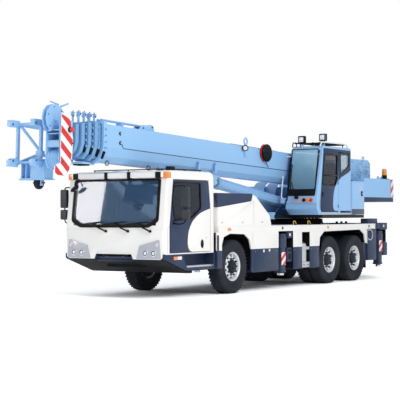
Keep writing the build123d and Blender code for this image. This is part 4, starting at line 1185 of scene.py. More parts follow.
def add_tail(body):
    """Mud flaps, hoses, rear boxes and lamps."""
    flap = side_plate(
        [(-6.03, 0.92), (-6.21, 0.92), (-6.215, 0.29), (-6.19, 0.29)], 1.19, 1.21, edge=0.004
    )
    body.pair(NAVY_PAINT, flap)
    body.pair(BLACK_PLASTIC, block(-6.205, -6.185, 0.6, 1.19, 0.29, 0.95))
    hose = [
        (-6.26, 1.23, 1.2), (-6.3, 1.262, 1.235), (-6.44, 1.268, 1.2), (-6.48, 1.268, 1.08),
        (-6.42, 1.268, 0.98), (-6.31, 1.262, 0.97), (-6.25, 1.23, 1.02),
    ]
    body.pair(LAMP_GREY, pipe(hose, 0.015, bend=0.06))
    body.pair(
        NAVY_PAINT, block(-6.735, -6.245, BOX_SIDE, 1.247, 0.475, 1.246),
        block(-6.735, -6.725, 0.63, CARRIER_SIDE, 0.48, 1.248, edge=0.002),
        block(-6.915, -6.35, 1.0, 1.2, 1.366, 1.5, edge=0.012),
        block(-7.415, -6.955, 1.02, CARRIER_SIDE, 1.216, 1.39, edge=0.012),
        block(-6.94, -6.7, 1.1, 1.2475, 1.244, 1.377, edge=0.005),
    )
    body.pair(SIGN_WHITE, cross_bar(-7.19, 1.31, 1.237, 1.246, 0.034, 24, edge=0.003))
    body.pair(NAVY_PAINT, block(-7.415, -7.34, 0.8, 1.204, 0.566, 0.93, edge=0.012))
    for i, colour in enumerate((RED_LENS, ORANGE_LENS, CLEAR_LENS)):
        y = 0.88 + i * 0.11
        body.pair(colour, rod((-7.412, y, 0.78), (-7.435, y, 0.78), 0.045, 28, edge=0.006))
    body.add(NAVY_PAINT, block(-7.412, -7.175, 0.995, 1.238, 0.566, 0.893, edge=0.012))
    body.pair(NAVY_PAINT, block(-7.42, -7.405, 0.06, 0.7, 0.6, 1.2))
    body.add(CHASSIS_BLACK, block(-5.75, -4.95, 0.85, 1.15, 1.366, 1.395, edge=0.008))
    for x in (-5.55, -5.3, -5.05):
        body.add(CHASSIS_BLACK, rod((x, 1.0, 1.39), (x, 1.0, 1.44), 0.03, 16, edge=0.005))
    for i in range(12):
        x = -1.75 - i * 0.1
        body.add(BRIGHT_STEEL, block(x - 0.03, x + 0.03, -0.95, -0.7, 1.368, 1.374, edge=0.002))


def dress_carrier_body():
    """Fenders, box faces, lamps, flaps and liners of the carrier."""
    body = Piece("carrier_body_trim", "carrier")
    add_fenders(body)
    add_outrigger_bays(body)
    add_box_faces(body)
    add_deck_edge(body)
    add_tail(body)
    body.done("off_white")


SLEW_X = -4.75


def dress_slew_ring():
    ring = Piece("slew_ring_gear", "carrier")
    ring.add(
        CHASSIS_BLACK,
        turned(
            [(0.5, 1.385), (0.7, 1.385), (0.7, 1.44), (0.665, 1.445), (0.665, 1.5), (0.5, 1.5)],
            (SLEW_X, 0, 0), UP, 90, closed=True,
        ),
        ring_of(
            lambda: block(SLEW_X + 0.66, SLEW_X + 0.69, -0.013, 0.013, 1.445, 1.505, edge=0.004, steps=1),
            90, (SLEW_X, 0, 0), UP,
        ),
    )
    ring.add(
        CAST_IRON,
        ring_of(
            lambda: rod((SLEW_X + 0.58, 0, 1.5), (SLEW_X + 0.58, 0, 1.515), 0.018, 6), 30, (SLEW_X, 0, 0),
            UP,
        ),
    )
    ring.done("frame_black")


def dress_canisters():
    slots = Piece("tank_canisters", "carrier")
    x = SLOT_X
    can = [
        (0, 0.44), (0.156, 0.44), (0.162, 0.45), (0.162, 0.9), (0.15, 0.95), (0.11, 0.985), (0.05, 1.0),
        (0.045, 1.04), (0, 1.045),
    ]
    slots.pair(BRIGHT_STEEL, turned(can, (x, 1.065, 0), UP, 44))
    for z in (0.5, 0.83):
        strap = [(0.16, z), (0.17, z), (0.17, z + 0.045), (0.16, z + 0.045)]
        slots.pair(LAMP_GREY, turned(strap, (x, 1.065, 0), UP, 44, closed=True))
    slots.pair(BRIGHT_STEEL, block(x - 0.175, x + 0.175, 1.19, 1.238, 0.42, 0.545, edge=0.008))
    for dx in (-0.1, 0.1):
        bolt = cross_bar(x + dx, 0.48, 1.236, 1.25, 0.014, 6, edge=0.002)
        slots.pair(CAST_IRON, bolt)
    slots.pair(BRIGHT_STEEL, block(x - 0.175, x + 0.175, 1.2, 1.236, 0.82, 0.885))
    slots.done("silver", ["canisters"])


# --- Outriggers ---
LEGS = (
    ("front_left", 1, 0.65), ("front_right", -1, 0.65), ("rear_left", 1, 0.81), ("rear_right", -1, 0.81),
)


def dress_outriggers():
    for name, side, marker_z in LEGS:
        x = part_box(f"outrigger_jack_{name}")[1].x - 0.075 - AXLE_X
        case = Piece(f"outrigger_case_{name}", f"outrigger_beam_{name}", side=side)
        case.add(NAVY_PAINT, block(x - 0.1, x + 0.1, 1.07, 1.226, 0.345, 1.185, edge=0.012))
        for z in (0.37, 0.9, 1.165):
            collar = block(x - 0.118, x + 0.118, 1.06, 1.234, z - 0.02, z + 0.02)
            case.add(NAVY_PAINT, collar)
        case.add(NAVY_PAINT, block(x - 0.132, x + 0.132, 1.095, 1.237, 0.888, 1.132, edge=0.01))
        banded(
            case.add,
            lambda: block(x - 0.09, x + 0.09, 1.232, 1.24, marker_z - 0.14, marker_z + 0.14, edge=0),
            (x, 0, marker_z), (0.6, 0, 0.8), 0.075,
        )
        case.done("navy")
        foot = Piece(f"outrigger_foot_{name}", f"outrigger_jack_{name}", side=side)
        foot.add(
            NAVY_PAINT,
            turned(
                [
                    (0, 0.288), (0.068, 0.288), (0.075, 0.294), (0.075, 0.306), (0.058, 0.318),
                    (0.052, 0.35), (0.044, 0.36), (0.0, 0.36),
                ],
                (x, 1.16, 0), UP, 36,
            ),
        )
        foot.add(CHROME_ROD, rod((x, 1.16, 0.34), (x, 1.16, 0.55), 0.047, 28, edge=0.003))
        foot.done("rod_steel")


# --- Superstructure ---
WINCH_PLATE_Y = 0.64
WEIGHT_REAR_Y, WEIGHT_TOP = 1.145, 2.49
BEACON = (-7.78, 1.0, 0)
OP_LEFT, OP_RIGHT, OP_FRONT, OP_REAR, OP_TOP = 1.2, 0.385, -3.9, -5.44, 3.2
TANK_PAINT = finish_of("tank_paint", BLUE, 0.36, below=(1.735, NAVY), Coat_Weight=0.2)


def outer_op_edge(middle, edge):
    left, right = middle.y > OP_LEFT - 0.004, middle.y < OP_RIGHT + 0.004
    front, rear = middle.x > OP_FRONT - 0.004, middle.x < OP_REAR + 0.004
    top = middle.z > OP_TOP - 0.004
    return (left or right) + (front or rear) + top >= 2


# How far the cab's front stands out at each height, and how much of that each place along it takes.
FRONT_LEAN = (
    (1.6, 0.12), (1.66, 0.17), (1.74, 0.235), (1.9, 0.235), (2.2, 0.185), (2.5, 0.125), (2.8, 0.06),
    (3.1, 0.0),
)
LEAN_SHARE = ((-4.3, 0.0), (-4.06, 0.66), (-3.99, 0.7), (-3.94, 1.0))


def between(table, place):
    """A value read from a table of (place, value), straight between its rows."""
    if place <= table[0][0]:
        return table[0][1]
    for (low, first), (high, last) in zip(table, table[1:]):
        if place <= high:
            return first + (last - first) * (place - low) / (high - low)
    return table[-1][1]


def lean_front(piece):
    """Lets the front of the operator's cab stand forward towards its foot."""
    shape = piece.whole
    for height, _ in FRONT_LEAN[1:-1]:
        bmesh.ops.bisect_plane(
            shape, geom=shape.verts[:] + shape.edges[:] + shape.faces[:], dist=1e-06,
            plane_co=(0, 0, height), plane_no=(0, 0, 1),
        )
    for vert in shape.verts:
        vert.co.x += between(FRONT_LEAN, vert.co.z) * between(LEAN_SHARE, vert.co.x)
    return piece


NAVY_BAND = [(-3.985, 3.152), (-5.4, 3.135), (-5.4, 3.07), (-3.985, 3.07)]
SIDE_NAVY = [(-4.755, 3.085), (-5.395, 3.085), (-5.395, 2.66), (-5.2, 2.6), (-4.95, 2.52), (-4.77, 2.41)]
REAR_PANE = [(-4.86, 3.04), (-5.32, 3.04), (-5.32, 2.78), (-4.86, 2.545)]
REAR_SWEEP = [(-4.755, 2.4), (-4.95, 2.5), (-5.2, 2.585), (-5.4, 2.64), (-5.43, 1.7), (-4.755, 1.7)]
OP_SCREEN = [(0.445, 3.115), (1.115, 3.115), (1.115, 2.195), (0.445, 2.195)]


def add_cab_shell(opcab):
    op_shape = shell_copy("operator_cab_shell", 0.05, outer_op_edge)
    for vert in op_shape.verts:
        if vert.co.z > 3.21 and abs(vert.co.y - 0.66) < 0.12 and (vert.co.x > -4.06):
            vert.co.z = min(vert.co.z, 3.3) + (vert.co.z > 3.3) * 0.12
    rear_opening = block(-5.6, -5.3, 0.52, 1.1, 2.5, 3.03, edge=0)
    opcab.add(BLUE_PAINT, carved(op_shape, rear_opening))
    opcab.add(
        NAVY_PAINT,
        side_plate(NAVY_BAND, OP_LEFT - 0.006, OP_LEFT + 0.004, corner={0: 0.05, 1: 0.03}, edge=0.002),
    )
    bulge = [
        (-3.93, 1.88), (-3.905, 1.88), (-3.868, 1.82), (-3.862, 1.74), (-3.885, 1.665), (-3.92, 1.635),
        (-3.99, 1.615), (-3.99, 1.88),
    ]
    opcab.add(BLUE_PAINT, side_plate(bulge, OP_RIGHT + 0.012, OP_LEFT - 0.012, corner=0.02, edge=0.02))
    opcab.add(
        NAVY_PAINT,
        framed(SIDE_NAVY, REAR_PANE, OP_LEFT - 0.006, OP_LEFT + 0.004, 0.02, 0.03, edge=0.002),
    )
    opcab.add(
        SMOOTH_BLACK,
        framed(
            grown(REAR_PANE, 0.02), grown(REAR_PANE, -0.015), OP_LEFT - 0.01, OP_LEFT + 0.008, 0.04, 0.03,
            edge=0.002,
        ),
    )
    opcab.add(
        BLUE_PAINT, side_plate(REAR_SWEEP, OP_LEFT - 0.002, OP_LEFT + 0.003, corner=0.008, edge=0.001)
    )


def add_cab_front(opcab):
    """Screen frame, lamps, wiper and the rail in front."""
    screen_out = [(0.425, 3.135), (1.135, 3.135), (1.135, 2.035), (0.425, 2.035)]
    opcab.add(
        SMOOTH_BLACK,
        carved(
            front_plate(screen_out, -3.905, -3.888, corner=0.035),
            front_plate(OP_SCREEN, -4.0, -3.8, corner=0.03, edge=0),
        ),
    )
    opcab.add(
        LAMP_GREY,
        front_plate(
            [(0.5, 2.005), (1.115, 2.005), (1.115, 1.875), (0.5, 1.875)], -3.902, -3.894, corner=0.01,
            edge=0.002,
        ),
    )
    for y, colour in ((0.855, SMOOTH_BLACK), (0.95, ORANGE_LENS), (1.045, RED_LENS)):
        knob = turned(
            [(0, 0), (0.042, 0), (0.044, 0.012), (0.036, 0.024), (0, 0.026)], (-3.896, y, 1.94), ALONG,
            28,
        )
        opcab.add(colour, knob)
    opcab.add(
        BLACK_PLASTIC, pipe([(-3.88, 0.66, 2.0), (-3.865, 0.6, 2.12), (-3.87, 0.5, 2.36)], 0.009),
        pipe([(-3.873, 0.49, 2.12), (-3.868, 0.485, 2.42), (-3.873, 0.48, 2.78)], 0.01),
        block(-3.9, -3.86, 0.61, 0.71, 1.97, 2.03, edge=0.01),
        block(-3.93, -3.88, 0.395, 0.425, 1.93, 2.95, edge=0.008),
    )


def add_cab_rails(opcab):
    """Sills, hand rail and small covers."""
    opcab.add(SMOOTH_BLACK, block(-5.4, -4.845, 1.185, 1.207, 1.645, 1.69))
    opcab.add(BRIGHT_STEEL, block(-5.42, -3.94, 1.175, 1.212, 1.598, 1.632))
    opcab.add(
        SIGN_WHITE,
        pipe(
            [(-3.92, 0.33, 1.95), (-3.9, 0.25, 2.0), (-3.9, 0.25, 2.93), (-3.92, 0.33, 2.98)], 0.014,
            bend=0.04,
        ),
    )
    for z in (1.97, 2.96):
        opcab.add(SIGN_WHITE, pipe([(-3.92, 0.33, z), (-3.96, 0.4, z)], 0.012))
    opcab.add(BLUE_PAINT, block(-3.95, -3.87, 0.24, 0.34, 1.86, 1.98, edge=0.012))
    opcab.add(SMOOTH_BLACK, block(-5.13, -4.79, OP_LEFT - 0.002, OP_LEFT + 0.01, 3.062, 3.09, edge=0.002))
    opcab.add(NAVY_PAINT, block(-4.7525, -4.7485, 1.165, 1.2035, 2.41, 3.07, edge=0))


def dress_operator_cab():
    opcab = Piece("operator_cab_body", "turntable")
    add_cab_shell(opcab)
    add_cab_front(opcab)
    add_cab_rails(opcab)
    lean_front(opcab).done("light_blue", ["operator_cab_shell"])


def dress_operator_panes():
    panes = Piece("operator_cab_panes", "turntable")
    panes.add(
        CLEAR_GLASS, side_plate(grown(REAR_PANE, -0.005), 1.183, 1.189, corner=0.03, edge=0),
        front_plate([(0.51, 2.49), (1.11, 2.49), (1.11, 3.04), (0.51, 3.04)], -5.428, -5.422, edge=0),
    )
    # The front pane's pale blue, lighter at the top, is painted reflection of the sky.
    panes.add(OP_GLASS_PAINTED_REFLECTION, front_plate(grown(OP_SCREEN, 0.01), -3.906, -3.9, corner=0.03, edge=0))
    low_pane = [(-4.08, 3.06), (-5.32, 3.06), (-5.32, 2.52), (-4.08, 2.52)]
    panes.add(TINTED_GLASS, side_plate(low_pane, 0.408, 0.414, corner=0.03, edge=0))
    lean_front(panes).done("glass", ["operator_cab_glass"])


def dress_operator_roof():
    """Guard grid, rails and work lamps."""
    rack = Piece("operator_cab_roof", "turntable")
    for y in (0.47, 0.7, 0.92, 1.1):
        rack.add(BLACK_PLASTIC, pipe([(-3.97, y, 3.275), (-5.25, y, 3.275)], 0.013))
    for x in (-3.99, -4.4, -4.82, -5.23):
        rack.add(BLACK_PLASTIC, pipe([(x, 0.45, 3.268), (x, 1.12, 3.268)], 0.013))
    for x in (-4.02, -5.2):
        for y in (0.48, 1.09):
            rack.add(BLACK_PLASTIC, rod((x, y, 3.18), (x, y, 3.27), 0.012, 12))
    rail = [(-3.96, 1.13, 3.19), (-4.02, 1.14, 3.29), (-5.3, 1.14, 3.29), (-5.4, 1.13, 3.19)]
    rack.add(SIGN_WHITE, pipe(rail, 0.016, bend=0.05))
    rack.add(
        BLACK_PLASTIC,
        pipe(
            [(-3.93, 0.42, 3.18), (-3.95, 0.42, 3.29), (-4.3, 0.42, 3.29), (-4.34, 0.42, 3.18)], 0.013,
            bend=0.04,
        ),
    )
    for x, y, z in ((-3.94, 0.66, 3.35), (-4.17, 1.09, 3.4)):
        housing = block(
            x - 0.064, x + 0.034, y - 0.092, y + 0.092, z - 0.086, z + 0.092, edge=0.024, steps=4
        )
        rack.add(SMOOTH_BLACK, housing)
        rack.add(
            CLEAR_LENS, block(x + 0.03, x + 0.04, y - 0.058, y + 0.058, z - 0.055, z + 0.058, edge=0.012)
        )
        for dy in (-0.03, 0.03):
            bulb = turned(
                [(0, 0), (0.022, 0), (0.018, 0.006), (0, 0.008)], (x + 0.038, y + dy, z), ALONG, 20
            )
            rack.add(BRIGHT_STEEL, bulb)
        rack.add(BLACK_PLASTIC, block(x - 0.03, x, y - 0.02, y + 0.02, 3.24, z - 0.06))
    rack.done("black_plastic")


OP_DOOR = [(-3.998, 3.07), (-4.742, 3.07), (-4.742, 1.668), (-3.998, 1.668)]
OP_PANE = [(-4.055, 3.02), (-4.69, 3.02), (-4.69, 2.44), (-4.61, 2.29), (-4.055, 2.29)]
OP_SWEEP = [
    (-4.738, 2.41), (-4.65, 2.34), (-4.57, 2.25), (-4.52, 2.15), (-4.49, 2.05), (-4.475, 1.95),
    (-4.465, 1.84), (-4.48, 1.75), (-4.53, 1.705), (-4.6, 1.69), (-4.738, 1.69),
]


def dress_operator_door():
    door = Piece("operator_door_dressed", "operator_door")
    door.add(NAVY_PAINT, framed(OP_DOOR, OP_PANE, 1.162, OP_LEFT, 0.03, 0.04, edge=0.005))
    door.add(
        SMOOTH_BLACK,
        framed(grown(OP_PANE, 0.02), grown(OP_PANE, -0.018), 1.166, OP_LEFT + 0.006, 0.05, 0.035),
    )
    door.add(TINTED_GLASS, side_plate(OP_PANE, 1.178, 1.184, corner=0.04, edge=0))
    door.add(SMOOTH_BLACK, block(-4.69, -4.055, 1.17, 1.203, 2.505, 2.535, edge=0.004))
    door.add(BLUE_PAINT, side_plate(OP_SWEEP, OP_LEFT - 0.002, OP_LEFT + 0.003, corner=0.01, edge=0.001))
    door.add(
        BLACK_PLASTIC, block(-4.09, -4.045, OP_LEFT, OP_LEFT + 0.016, 2.02, 2.13, edge=0.008),
        block(-4.55, -4.1, 1.152, 1.166, 1.75, 2.2, edge=0.01),
    )
    for z in (1.8, 2.35, 2.92):
        hinge = rod(
            (-4.727, OP_LEFT + 0.003, z - 0.04), (-4.727, OP_LEFT + 0.003, z + 0.04), 0.01, 14,
            edge=0.002,
        )
        door.add(NAVY_PAINT, hinge)
    lean_front(door).done("navy", ["operator_door"])


def dress_operator_seat():
    seat = Piece("operator_seat_pads", "turntable")
    seat.add(
        SEAT_CLOTH, cushion((-5.12, 0.57, 1.99), (-4.64, 1.03, 2.13), 0.05, 2),
        cushion((-5.17, 0.58, 2.08), (-5.04, 1.02, 2.66), 0.04, 0),
        cushion((-5.16, 0.68, 2.67), (-5.06, 0.92, 2.84), 0.02, 0, 0.035),
    )
    seat.done("seat")


def dress_operator_console():
    console = Piece("operator_console", "turntable")
    console.add(BLACK_PLASTIC, block(-5.08, -4.72, 0.66, 0.94, 1.65, 1.99, edge=0.03, steps=3))
    for y in (0.52, 1.06):
        console.add(
            BLACK_PLASTIC, block(-5.02, -4.62, y - 0.05, y + 0.05, 2.17, 2.25, edge=0.025, steps=3)
        )
        console.add(SMOOTH_BLACK, rod((-4.68, y, 2.24), (-4.66, y, 2.38), 0.012, 12, end_radius=0.022))
        console.add(CHASSIS_BLACK, block(-5.0, -4.9, y - 0.03, y + 0.03, 1.9, 2.18, edge=0.01))
    console.add(BLACK_PLASTIC, block(-4.12, -4.0, 0.48, 0.6, 1.66, 2.42, edge=0.03, steps=3))
    console.add(SMOOTH_BLACK, block(-4.1, -4.04, 0.46, 0.66, 2.36, 2.55, edge=0.02, steps=3))
    console.done("seat", ["operator_seat"])


def add_tank(rear):
    tank = [(-5.462, 2.4), (-6.148, 2.4), (-6.148, 1.602), (-5.462, 1.602)]
    rear.add(
        TANK_PAINT, side_plate(tank, 1.17, 1.207, corner=0.03, edge=0.01),
        block(-6.1, -5.5, 1.204, 1.213, 1.79, 2.35, edge=0.004),
    )
    rear.add(SMOOTH_BLACK, block(-6.04, -5.95, 1.21, 1.222, 2.05, 2.17))
    rear.add(BRIGHT_STEEL, cross_bar(-5.995, 2.11, 1.218, 1.228, 0.018, 16, edge=0.003))
    rear.add(BLUE_PAINT, block(-6.12, -5.49, 0.83, 1.19, 2.395, 2.415, edge=0.008))
    rear.add(SMOOTH_BLACK, rod((-5.8, 1.0, 2.41), (-5.8, 1.0, 2.45), 0.055, 24, edge=0.008))


def add_frame_plates(rear):
    """Plates and bolts of the front, and the guards over the hoses."""
    rear.add(
        BLUE_PAINT, block(-4.6, -3.2, -0.55, 0.36, 1.515, 1.53, edge=0.005),
        block(-3.1, -3.04, -0.42, 0.42, 1.5, 1.66, edge=0.012),
    )
    for y in (-0.3, -0.1, 0.1, 0.3):
        rear.add(CAST_IRON, rod((-3.045, y, 1.58), (-3.03, y, 1.58), 0.018, 6, edge=0.002))
    for x in (-4.3, -3.72):
        guard_ring = [(0.38, 0.0), (0.392, 0.0), (0.392, 0.3), (0.38, 0.3)]
        guard = turned(guard_ring, (x - 0.3, -0.22, 2.0), (0, -1, 0), 56, closed=True)
        guard = sliced(guard, (x - 0.3, 0, 2.02), (0, 0, -1))
        guard = sliced(guard, (x - 0.34, 0, 0), (-1, 0, 0))
        rear.add(BLUE_PAINT, guard)


def add_winch_bosses(rear):
    """Bosses and bolts on the winch side plates, and the lifting eye."""
    for x, z, radius, count in ((-7.06, 2.74, 0.155, 12), (-7.45, 2.74, 0.1, 8)):
        hub = turned(
            [
                (0, 0), (radius * 1.25, 0), (radius * 1.28, 0.006), (radius * 1.22, 0.014),
                (radius * 0.5, 0.018), (radius * 0.45, 0.05), (radius * 0.3, 0.06), (0, 0.06),
            ],
            (x, WINCH_PLATE_Y, z), ACROSS, 36,
        )
        rear.pair(BLUE_PAINT, hub)
        bolts = ring_of(
            lambda: cross_bar(x, z + radius, WINCH_PLATE_Y + 0.012, WINCH_PLATE_Y + 0.028, 0.011, 6),
            count, (x, WINCH_PLATE_Y, z), ACROSS,
        )
        rear.pair(CAST_IRON, bolts)
    for x, z in ((-6.62, 2.93), (-7.62, 2.92), (-7.62, 2.6), (-6.62, 2.6), (-7.2, 2.96)):
        rear.pair(CAST_IRON, cross_bar(x, z, WINCH_PLATE_Y, WINCH_PLATE_Y + 0.014, 0.013, 6, edge=0.002))
    eye_ring = round_bar(0.05, 0.014, 8)
    rear.add(BLUE_PAINT, turned(eye_ring, (-7.31, WINCH_PLATE_Y - 0.02, 3.03), ACROSS, 28, closed=True))
    pin = [(0, 0), (0.125, 0), (0.13, 0.01), (0.12, 0.028), (0.06, 0.034), (0.055, 0.05), (0, 0.052)]
    rear.pair(CAST_IRON, turned(pin, (-6.05, 0.428, 2.62), ACROSS, 36))


def dress_superstructure():
    """Tank, guards, and the bosses of the winch plates."""
    rear = Piece("superstructure_trim", "turntable")
    add_tank(rear)
    add_frame_plates(rear)
    add_winch_bosses(rear)
    rear.done("light_blue")


def weight_edge(middle, edge):
    return abs(middle.z - 2.5) < 0.01 or edge.calc_face_angle(0) > 1.0


def dress_counterweight():
    weight = Piece("counterweight_dressed", "turntable")
    weight_shape = shell_copy("counterweight", 0.018, weight_edge)
    for vert in weight_shape.verts:
        x, y, z = vert.co
        if x < -7.86 and abs(y) > 1.0:
            vert.co.y = math.copysign(min(abs(y) + 0.085, WEIGHT_REAR_Y), y)
        if x < -7.86:
            vert.co.x -= 0.07
        elif z > 2.505 and abs(x + 7.78) < 0.09 and (abs(abs(y) - 0.9) < 0.1):
            vert.co.y += math.copysign(0.1, y)
    weight.add(WEIGHT_PAINT, weight_shape)
    back_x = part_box("counterweight")[0].x - AXLE_X - 0.07
    stripe = [
        (back_x + 0.175, WEIGHT_REAR_Y + 0.016, 2.06),
        (back_x + 0.175, WEIGHT_REAR_Y + 0.016, WEIGHT_TOP),
        (back_x + 0.015, WEIGHT_REAR_Y + 0.006, WEIGHT_TOP),
        (back_x + 0.015, WEIGHT_REAR_Y + 0.006, 2.06),
    ]
    banded(
        weight.pair, lambda: plate(stripe, (0, 0.008, 0), edge=0), (back_x + 0.1, 0, 2.2),
        (0.62, 0, 0.78), 0.1,
    )
    for x in (-6.5, -7.45):
        lug = side_plate(
            [(x - 0.06, WEIGHT_TOP), (x - 0.045, 2.58), (x + 0.045, 2.58), (x + 0.06, WEIGHT_TOP)], 0.96,
            0.985, corner=0.03, edge=0.004,
        )
        weight.pair(BLUE_PAINT, lug)
    weight.add(
        BLACK_PLASTIC, block(-7.9, -7.66, 0.9, 1.09, WEIGHT_TOP, 2.52),
        turned([(0, 2.505), (0.066, 2.505), (0.068, 2.6), (0.064, 2.61), (0, 2.61)], BEACON, UP, 30),
    )
    weight.add(
        ORANGE_LENS,
        turned(
            [
                (0, 2.6), (0.062, 2.6), (0.064, 2.62), (0.063, 2.72), (0.058, 2.76), (0.04, 2.776),
                (0, 2.78),
            ],
            BEACON, UP, 30,
        ),
    )
    weight.done("light_blue", ["counterweight"])


def dress_winches():
    for node, drum_x in (("winch_drum_main", -6.96), ("winch_drum_auxiliary", -7.37)):
        low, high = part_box(node)
        half = (high.y - low.y) / 2
        centre = (drum_x, 0, (low.z + high.z) / 2)
        winch = Piece(node + "_dressed", node)
        turns = 26
        wraps = [(0.0, -half + 0.03)]
        for i in range(turns):
            a = -half + 0.035 + i * (2 * half - 0.07) / turns
            pitch = (2 * half - 0.07) / turns
            wraps += [(0.15, a), (0.162, a + pitch * 0.25), (0.162, a + pitch * 0.75)]
        wraps += [(0.15, half - 0.035), (0.0, half - 0.03)]
        winch.add(WIRE_ROPE, turned(wraps, centre, ACROSS))
        for side in (1, -1):
            flange = [
                (0, half - 0.035), (0.18, half - 0.035), (0.19, half - 0.028), (0.19, half - 0.006),
                (0.182, half), (0.08, half), (0.07, half - 0.004), (0, half - 0.004),
            ]
            winch.add(BLUE_PAINT, turned([(r, a * side) for r, a in flange], centre, ACROSS, 44))
        winch.done("light_blue", [node])


def dress_luff_barrel():
    luff = Piece("luff_barrel_dressed", "luff_barrel")
    foot = Vector((-4.95, 0, 1.78))
    eye = FROM_AXLE.inverted() @ ALONG_BOOM @ Vector((5.15, 0, -0.47))
    run = (eye - foot).normalized()
    barrel_low, barrel_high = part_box("luff_barrel")
    tip = (barrel_high.x - AXLE_X - foot.x) / run.x
    radius = (barrel_high.y - barrel_low.y) / 2
    for along in (0.55, tip * 0.55, tip - 0.12):
        hoop = [
            (radius - 0.002, along), (radius + 0.012, along + 0.006), (radius + 0.012, along + 0.05),
            (radius - 0.002, along + 0.056),
        ]
        luff.add(BLUE_PAINT, turned(hoop, foot, run, closed=True))
    side_step = Vector((0, radius * 0.9, 0)) + run.cross(Vector(ACROSS)) * -radius * 0.6
    luff.add(
        BLUE_PAINT,
        pipe(
            [
                foot + side_step + run * 0.6, foot + side_step + run * (tip - 0.25),
                foot + side_step * 0.85 + run * (tip - 0.18),
            ],
            0.014, bend=0.03,
        ),
    )
    luff.add(
        SMOOTH_BLACK,
        pipe(
            [foot + side_step + run * 0.6, foot + side_step + Vector((0.1, 0.06, -0.08)) + run * 0.3],
            0.016,
        ),
    )
    luff.done("light_blue")


# --- Boom, head and stowed jib ---
def in_boom(x, y, z):
    """A place given from the front axle, in the boom's own directions."""
    spot = ALONG_BOOM.inverted() @ FROM_AXLE @ Vector((x, y, z))
    return spot.x, spot.y, spot.z


# Sheaves of the head: along the boom, up, radius, and the middle of each groove across.
PULLEY_S, PULLEY_N = 10.2, 0.36
HEAD_SHEAVES = (
    (PULLEY_S, PULLEY_N, 0.185, (-0.11,)), (10.16, -0.36, 0.165, (-0.105, -0.035, 0.035, 0.105)),
)
COLLARS = (
    ("boom_base", 9.28, 0.3, 0.35), ("boom_section_2", 9.42, 0.272, 0.322),
    ("boom_section_3", 9.58, 0.244, 0.294), ("boom_section_4", 9.74, 0.216, 0.266),
)


def dress_collars():
    for body, end, half_w, half_h in COLLARS:
        fit = Piece(f"{body}_collar_fittings", body, ALONG_BOOM)
        out_w, out_h, top_n = half_w + 0.042, half_h + 0.042, 0.555
        for n in (0.24, 0.12, 0.0, -0.11):
            boss = cross_bar(end - 0.046, n, out_w - 0.01, out_w + 0.022, 0.021, 16, edge=0.003)
            fit.pair(BLUE_PAINT, boss)
            cap = cross_bar(end - 0.046, n, out_w + 0.02, out_w + 0.03, 0.012, 6, edge=0.002)
            fit.pair(SMOOTH_BLACK, cap)
        tab = block(end - 0.068, end - 0.03, 0.058, 0.082, out_h - 0.01, top_n - 0.02, edge=0.004)
        fit.pair(BLUE_PAINT, tab)
        bar = block(end - 0.085, end - 0.012, 0.04, 0.1, top_n - 0.035, top_n - 0.015, edge=0.004)
        fit.pair(BLUE_PAINT, bar)
        bolt = rod((end - 0.05, 0.07, top_n - 0.02), (end - 0.05, 0.07, top_n + 0.01), 0.01, 8)
        fit.pair(CAST_IRON, bolt)
        eye = cross_bar(end - 0.05, top_n - 0.065, 0.048, 0.105, 0.026, 18, edge=0.003)
        fit.pair(BLUE_PAINT, eye)
        pin = cross_bar(end - 0.05, top_n - 0.065, 0.1, 0.112, 0.015, 14, edge=0.002)
        fit.pair(SMOOTH_BLACK, pin)
        pad = plate(
            [
                (end - 0.082, out_w * 0.92, -out_h + 0.225), (end - 0.082, out_w * 0.74, -out_h + 0.1),
                (end - 0.02, out_w * 0.74, -out_h + 0.1), (end - 0.02, out_w * 0.92, -out_h + 0.225),
            ],
            (0, 0.022, -0.022), edge=0.004,
        )
        fit.pair(SMOOTH_BLACK, pad)
        flat = block(end - 0.095, end - 0.005, -0.1, 0.1, out_h - 0.005, out_h + 0.016, edge=0.005)
        fit.add(BLUE_PAINT, flat)
        fit.done("light_blue")


BASE_TOP = 0.345
LIFTING_RING = round_bar(0.068, 0.018, 10)


def add_boom_lugs(base):
    """Hose, ports, lugs and rope guide of the main section."""
    base.add(
        SMOOTH_BLACK,
        pipe(
            [
                (1.0, 0.304, -0.072), (5.0, 0.304, -0.072), (8.62, 0.304, -0.072), (8.66, 0.304, 0.02),
                (8.68, 0.31, 0.06),
            ],
            0.006, bend=0.04,
        ),
    )
    for x, z in ((2.65, 3.16), (2.65, 2.98)):
        s, _, n = in_boom(x, 0.3, z)
        base.add(SMOOTH_BLACK, cross_bar(s, n, 0.298, 0.318, 0.034, edge=0.004))
        base.add(BRIGHT_STEEL, cross_bar(s, n, 0.316, 0.336, 0.024, edge=0.005))
    for x in (-0.08, -0.73):
        s, _, n = in_boom(x, 0.3, 2.61)
        base.add(
            BLUE_PAINT, block(s - 0.035, s + 0.035, 0.285, 0.325, n - 0.1, n + 0.1, edge=0.008),
            block(s - 0.05, s + 0.05, 0.18, 0.325, n - 0.115, n - 0.095),
            block(s - 0.05, s + 0.05, 0.31, BASE_TOP, n + 0.07, n + 0.1),
        )
    for y in (0.08, 0.17):
        base.add(BLUE_PAINT, pipe([(7.55, y, 0.42), (7.9, y, 0.44), (9.15, y, 0.44)], 0.016, bend=0.05))
    for y in (0.05, 0.2):
        ear = plate(
            [(7.46, y, BASE_TOP), (7.5, y, 0.47), (7.6, y, 0.49), (7.92, y, 0.43), (8.02, y, BASE_TOP)],
            (0, 0.014, 0), corner=0.02,
        )
        base.add(BLUE_PAINT, ear)
    base.add(
        CAST_IRON, cross_bar(7.55, 0.44, 0.03, 0.23, 0.02, 16, edge=0.003),
        cross_bar(7.85, 0.4, 0.03, 0.23, 0.016, 16, edge=0.003),
    )
    for s in (8.5, 9.12):
        base.add(BLUE_PAINT, block(s - 0.03, s + 0.03, 0.05, 0.2, BASE_TOP, 0.425))


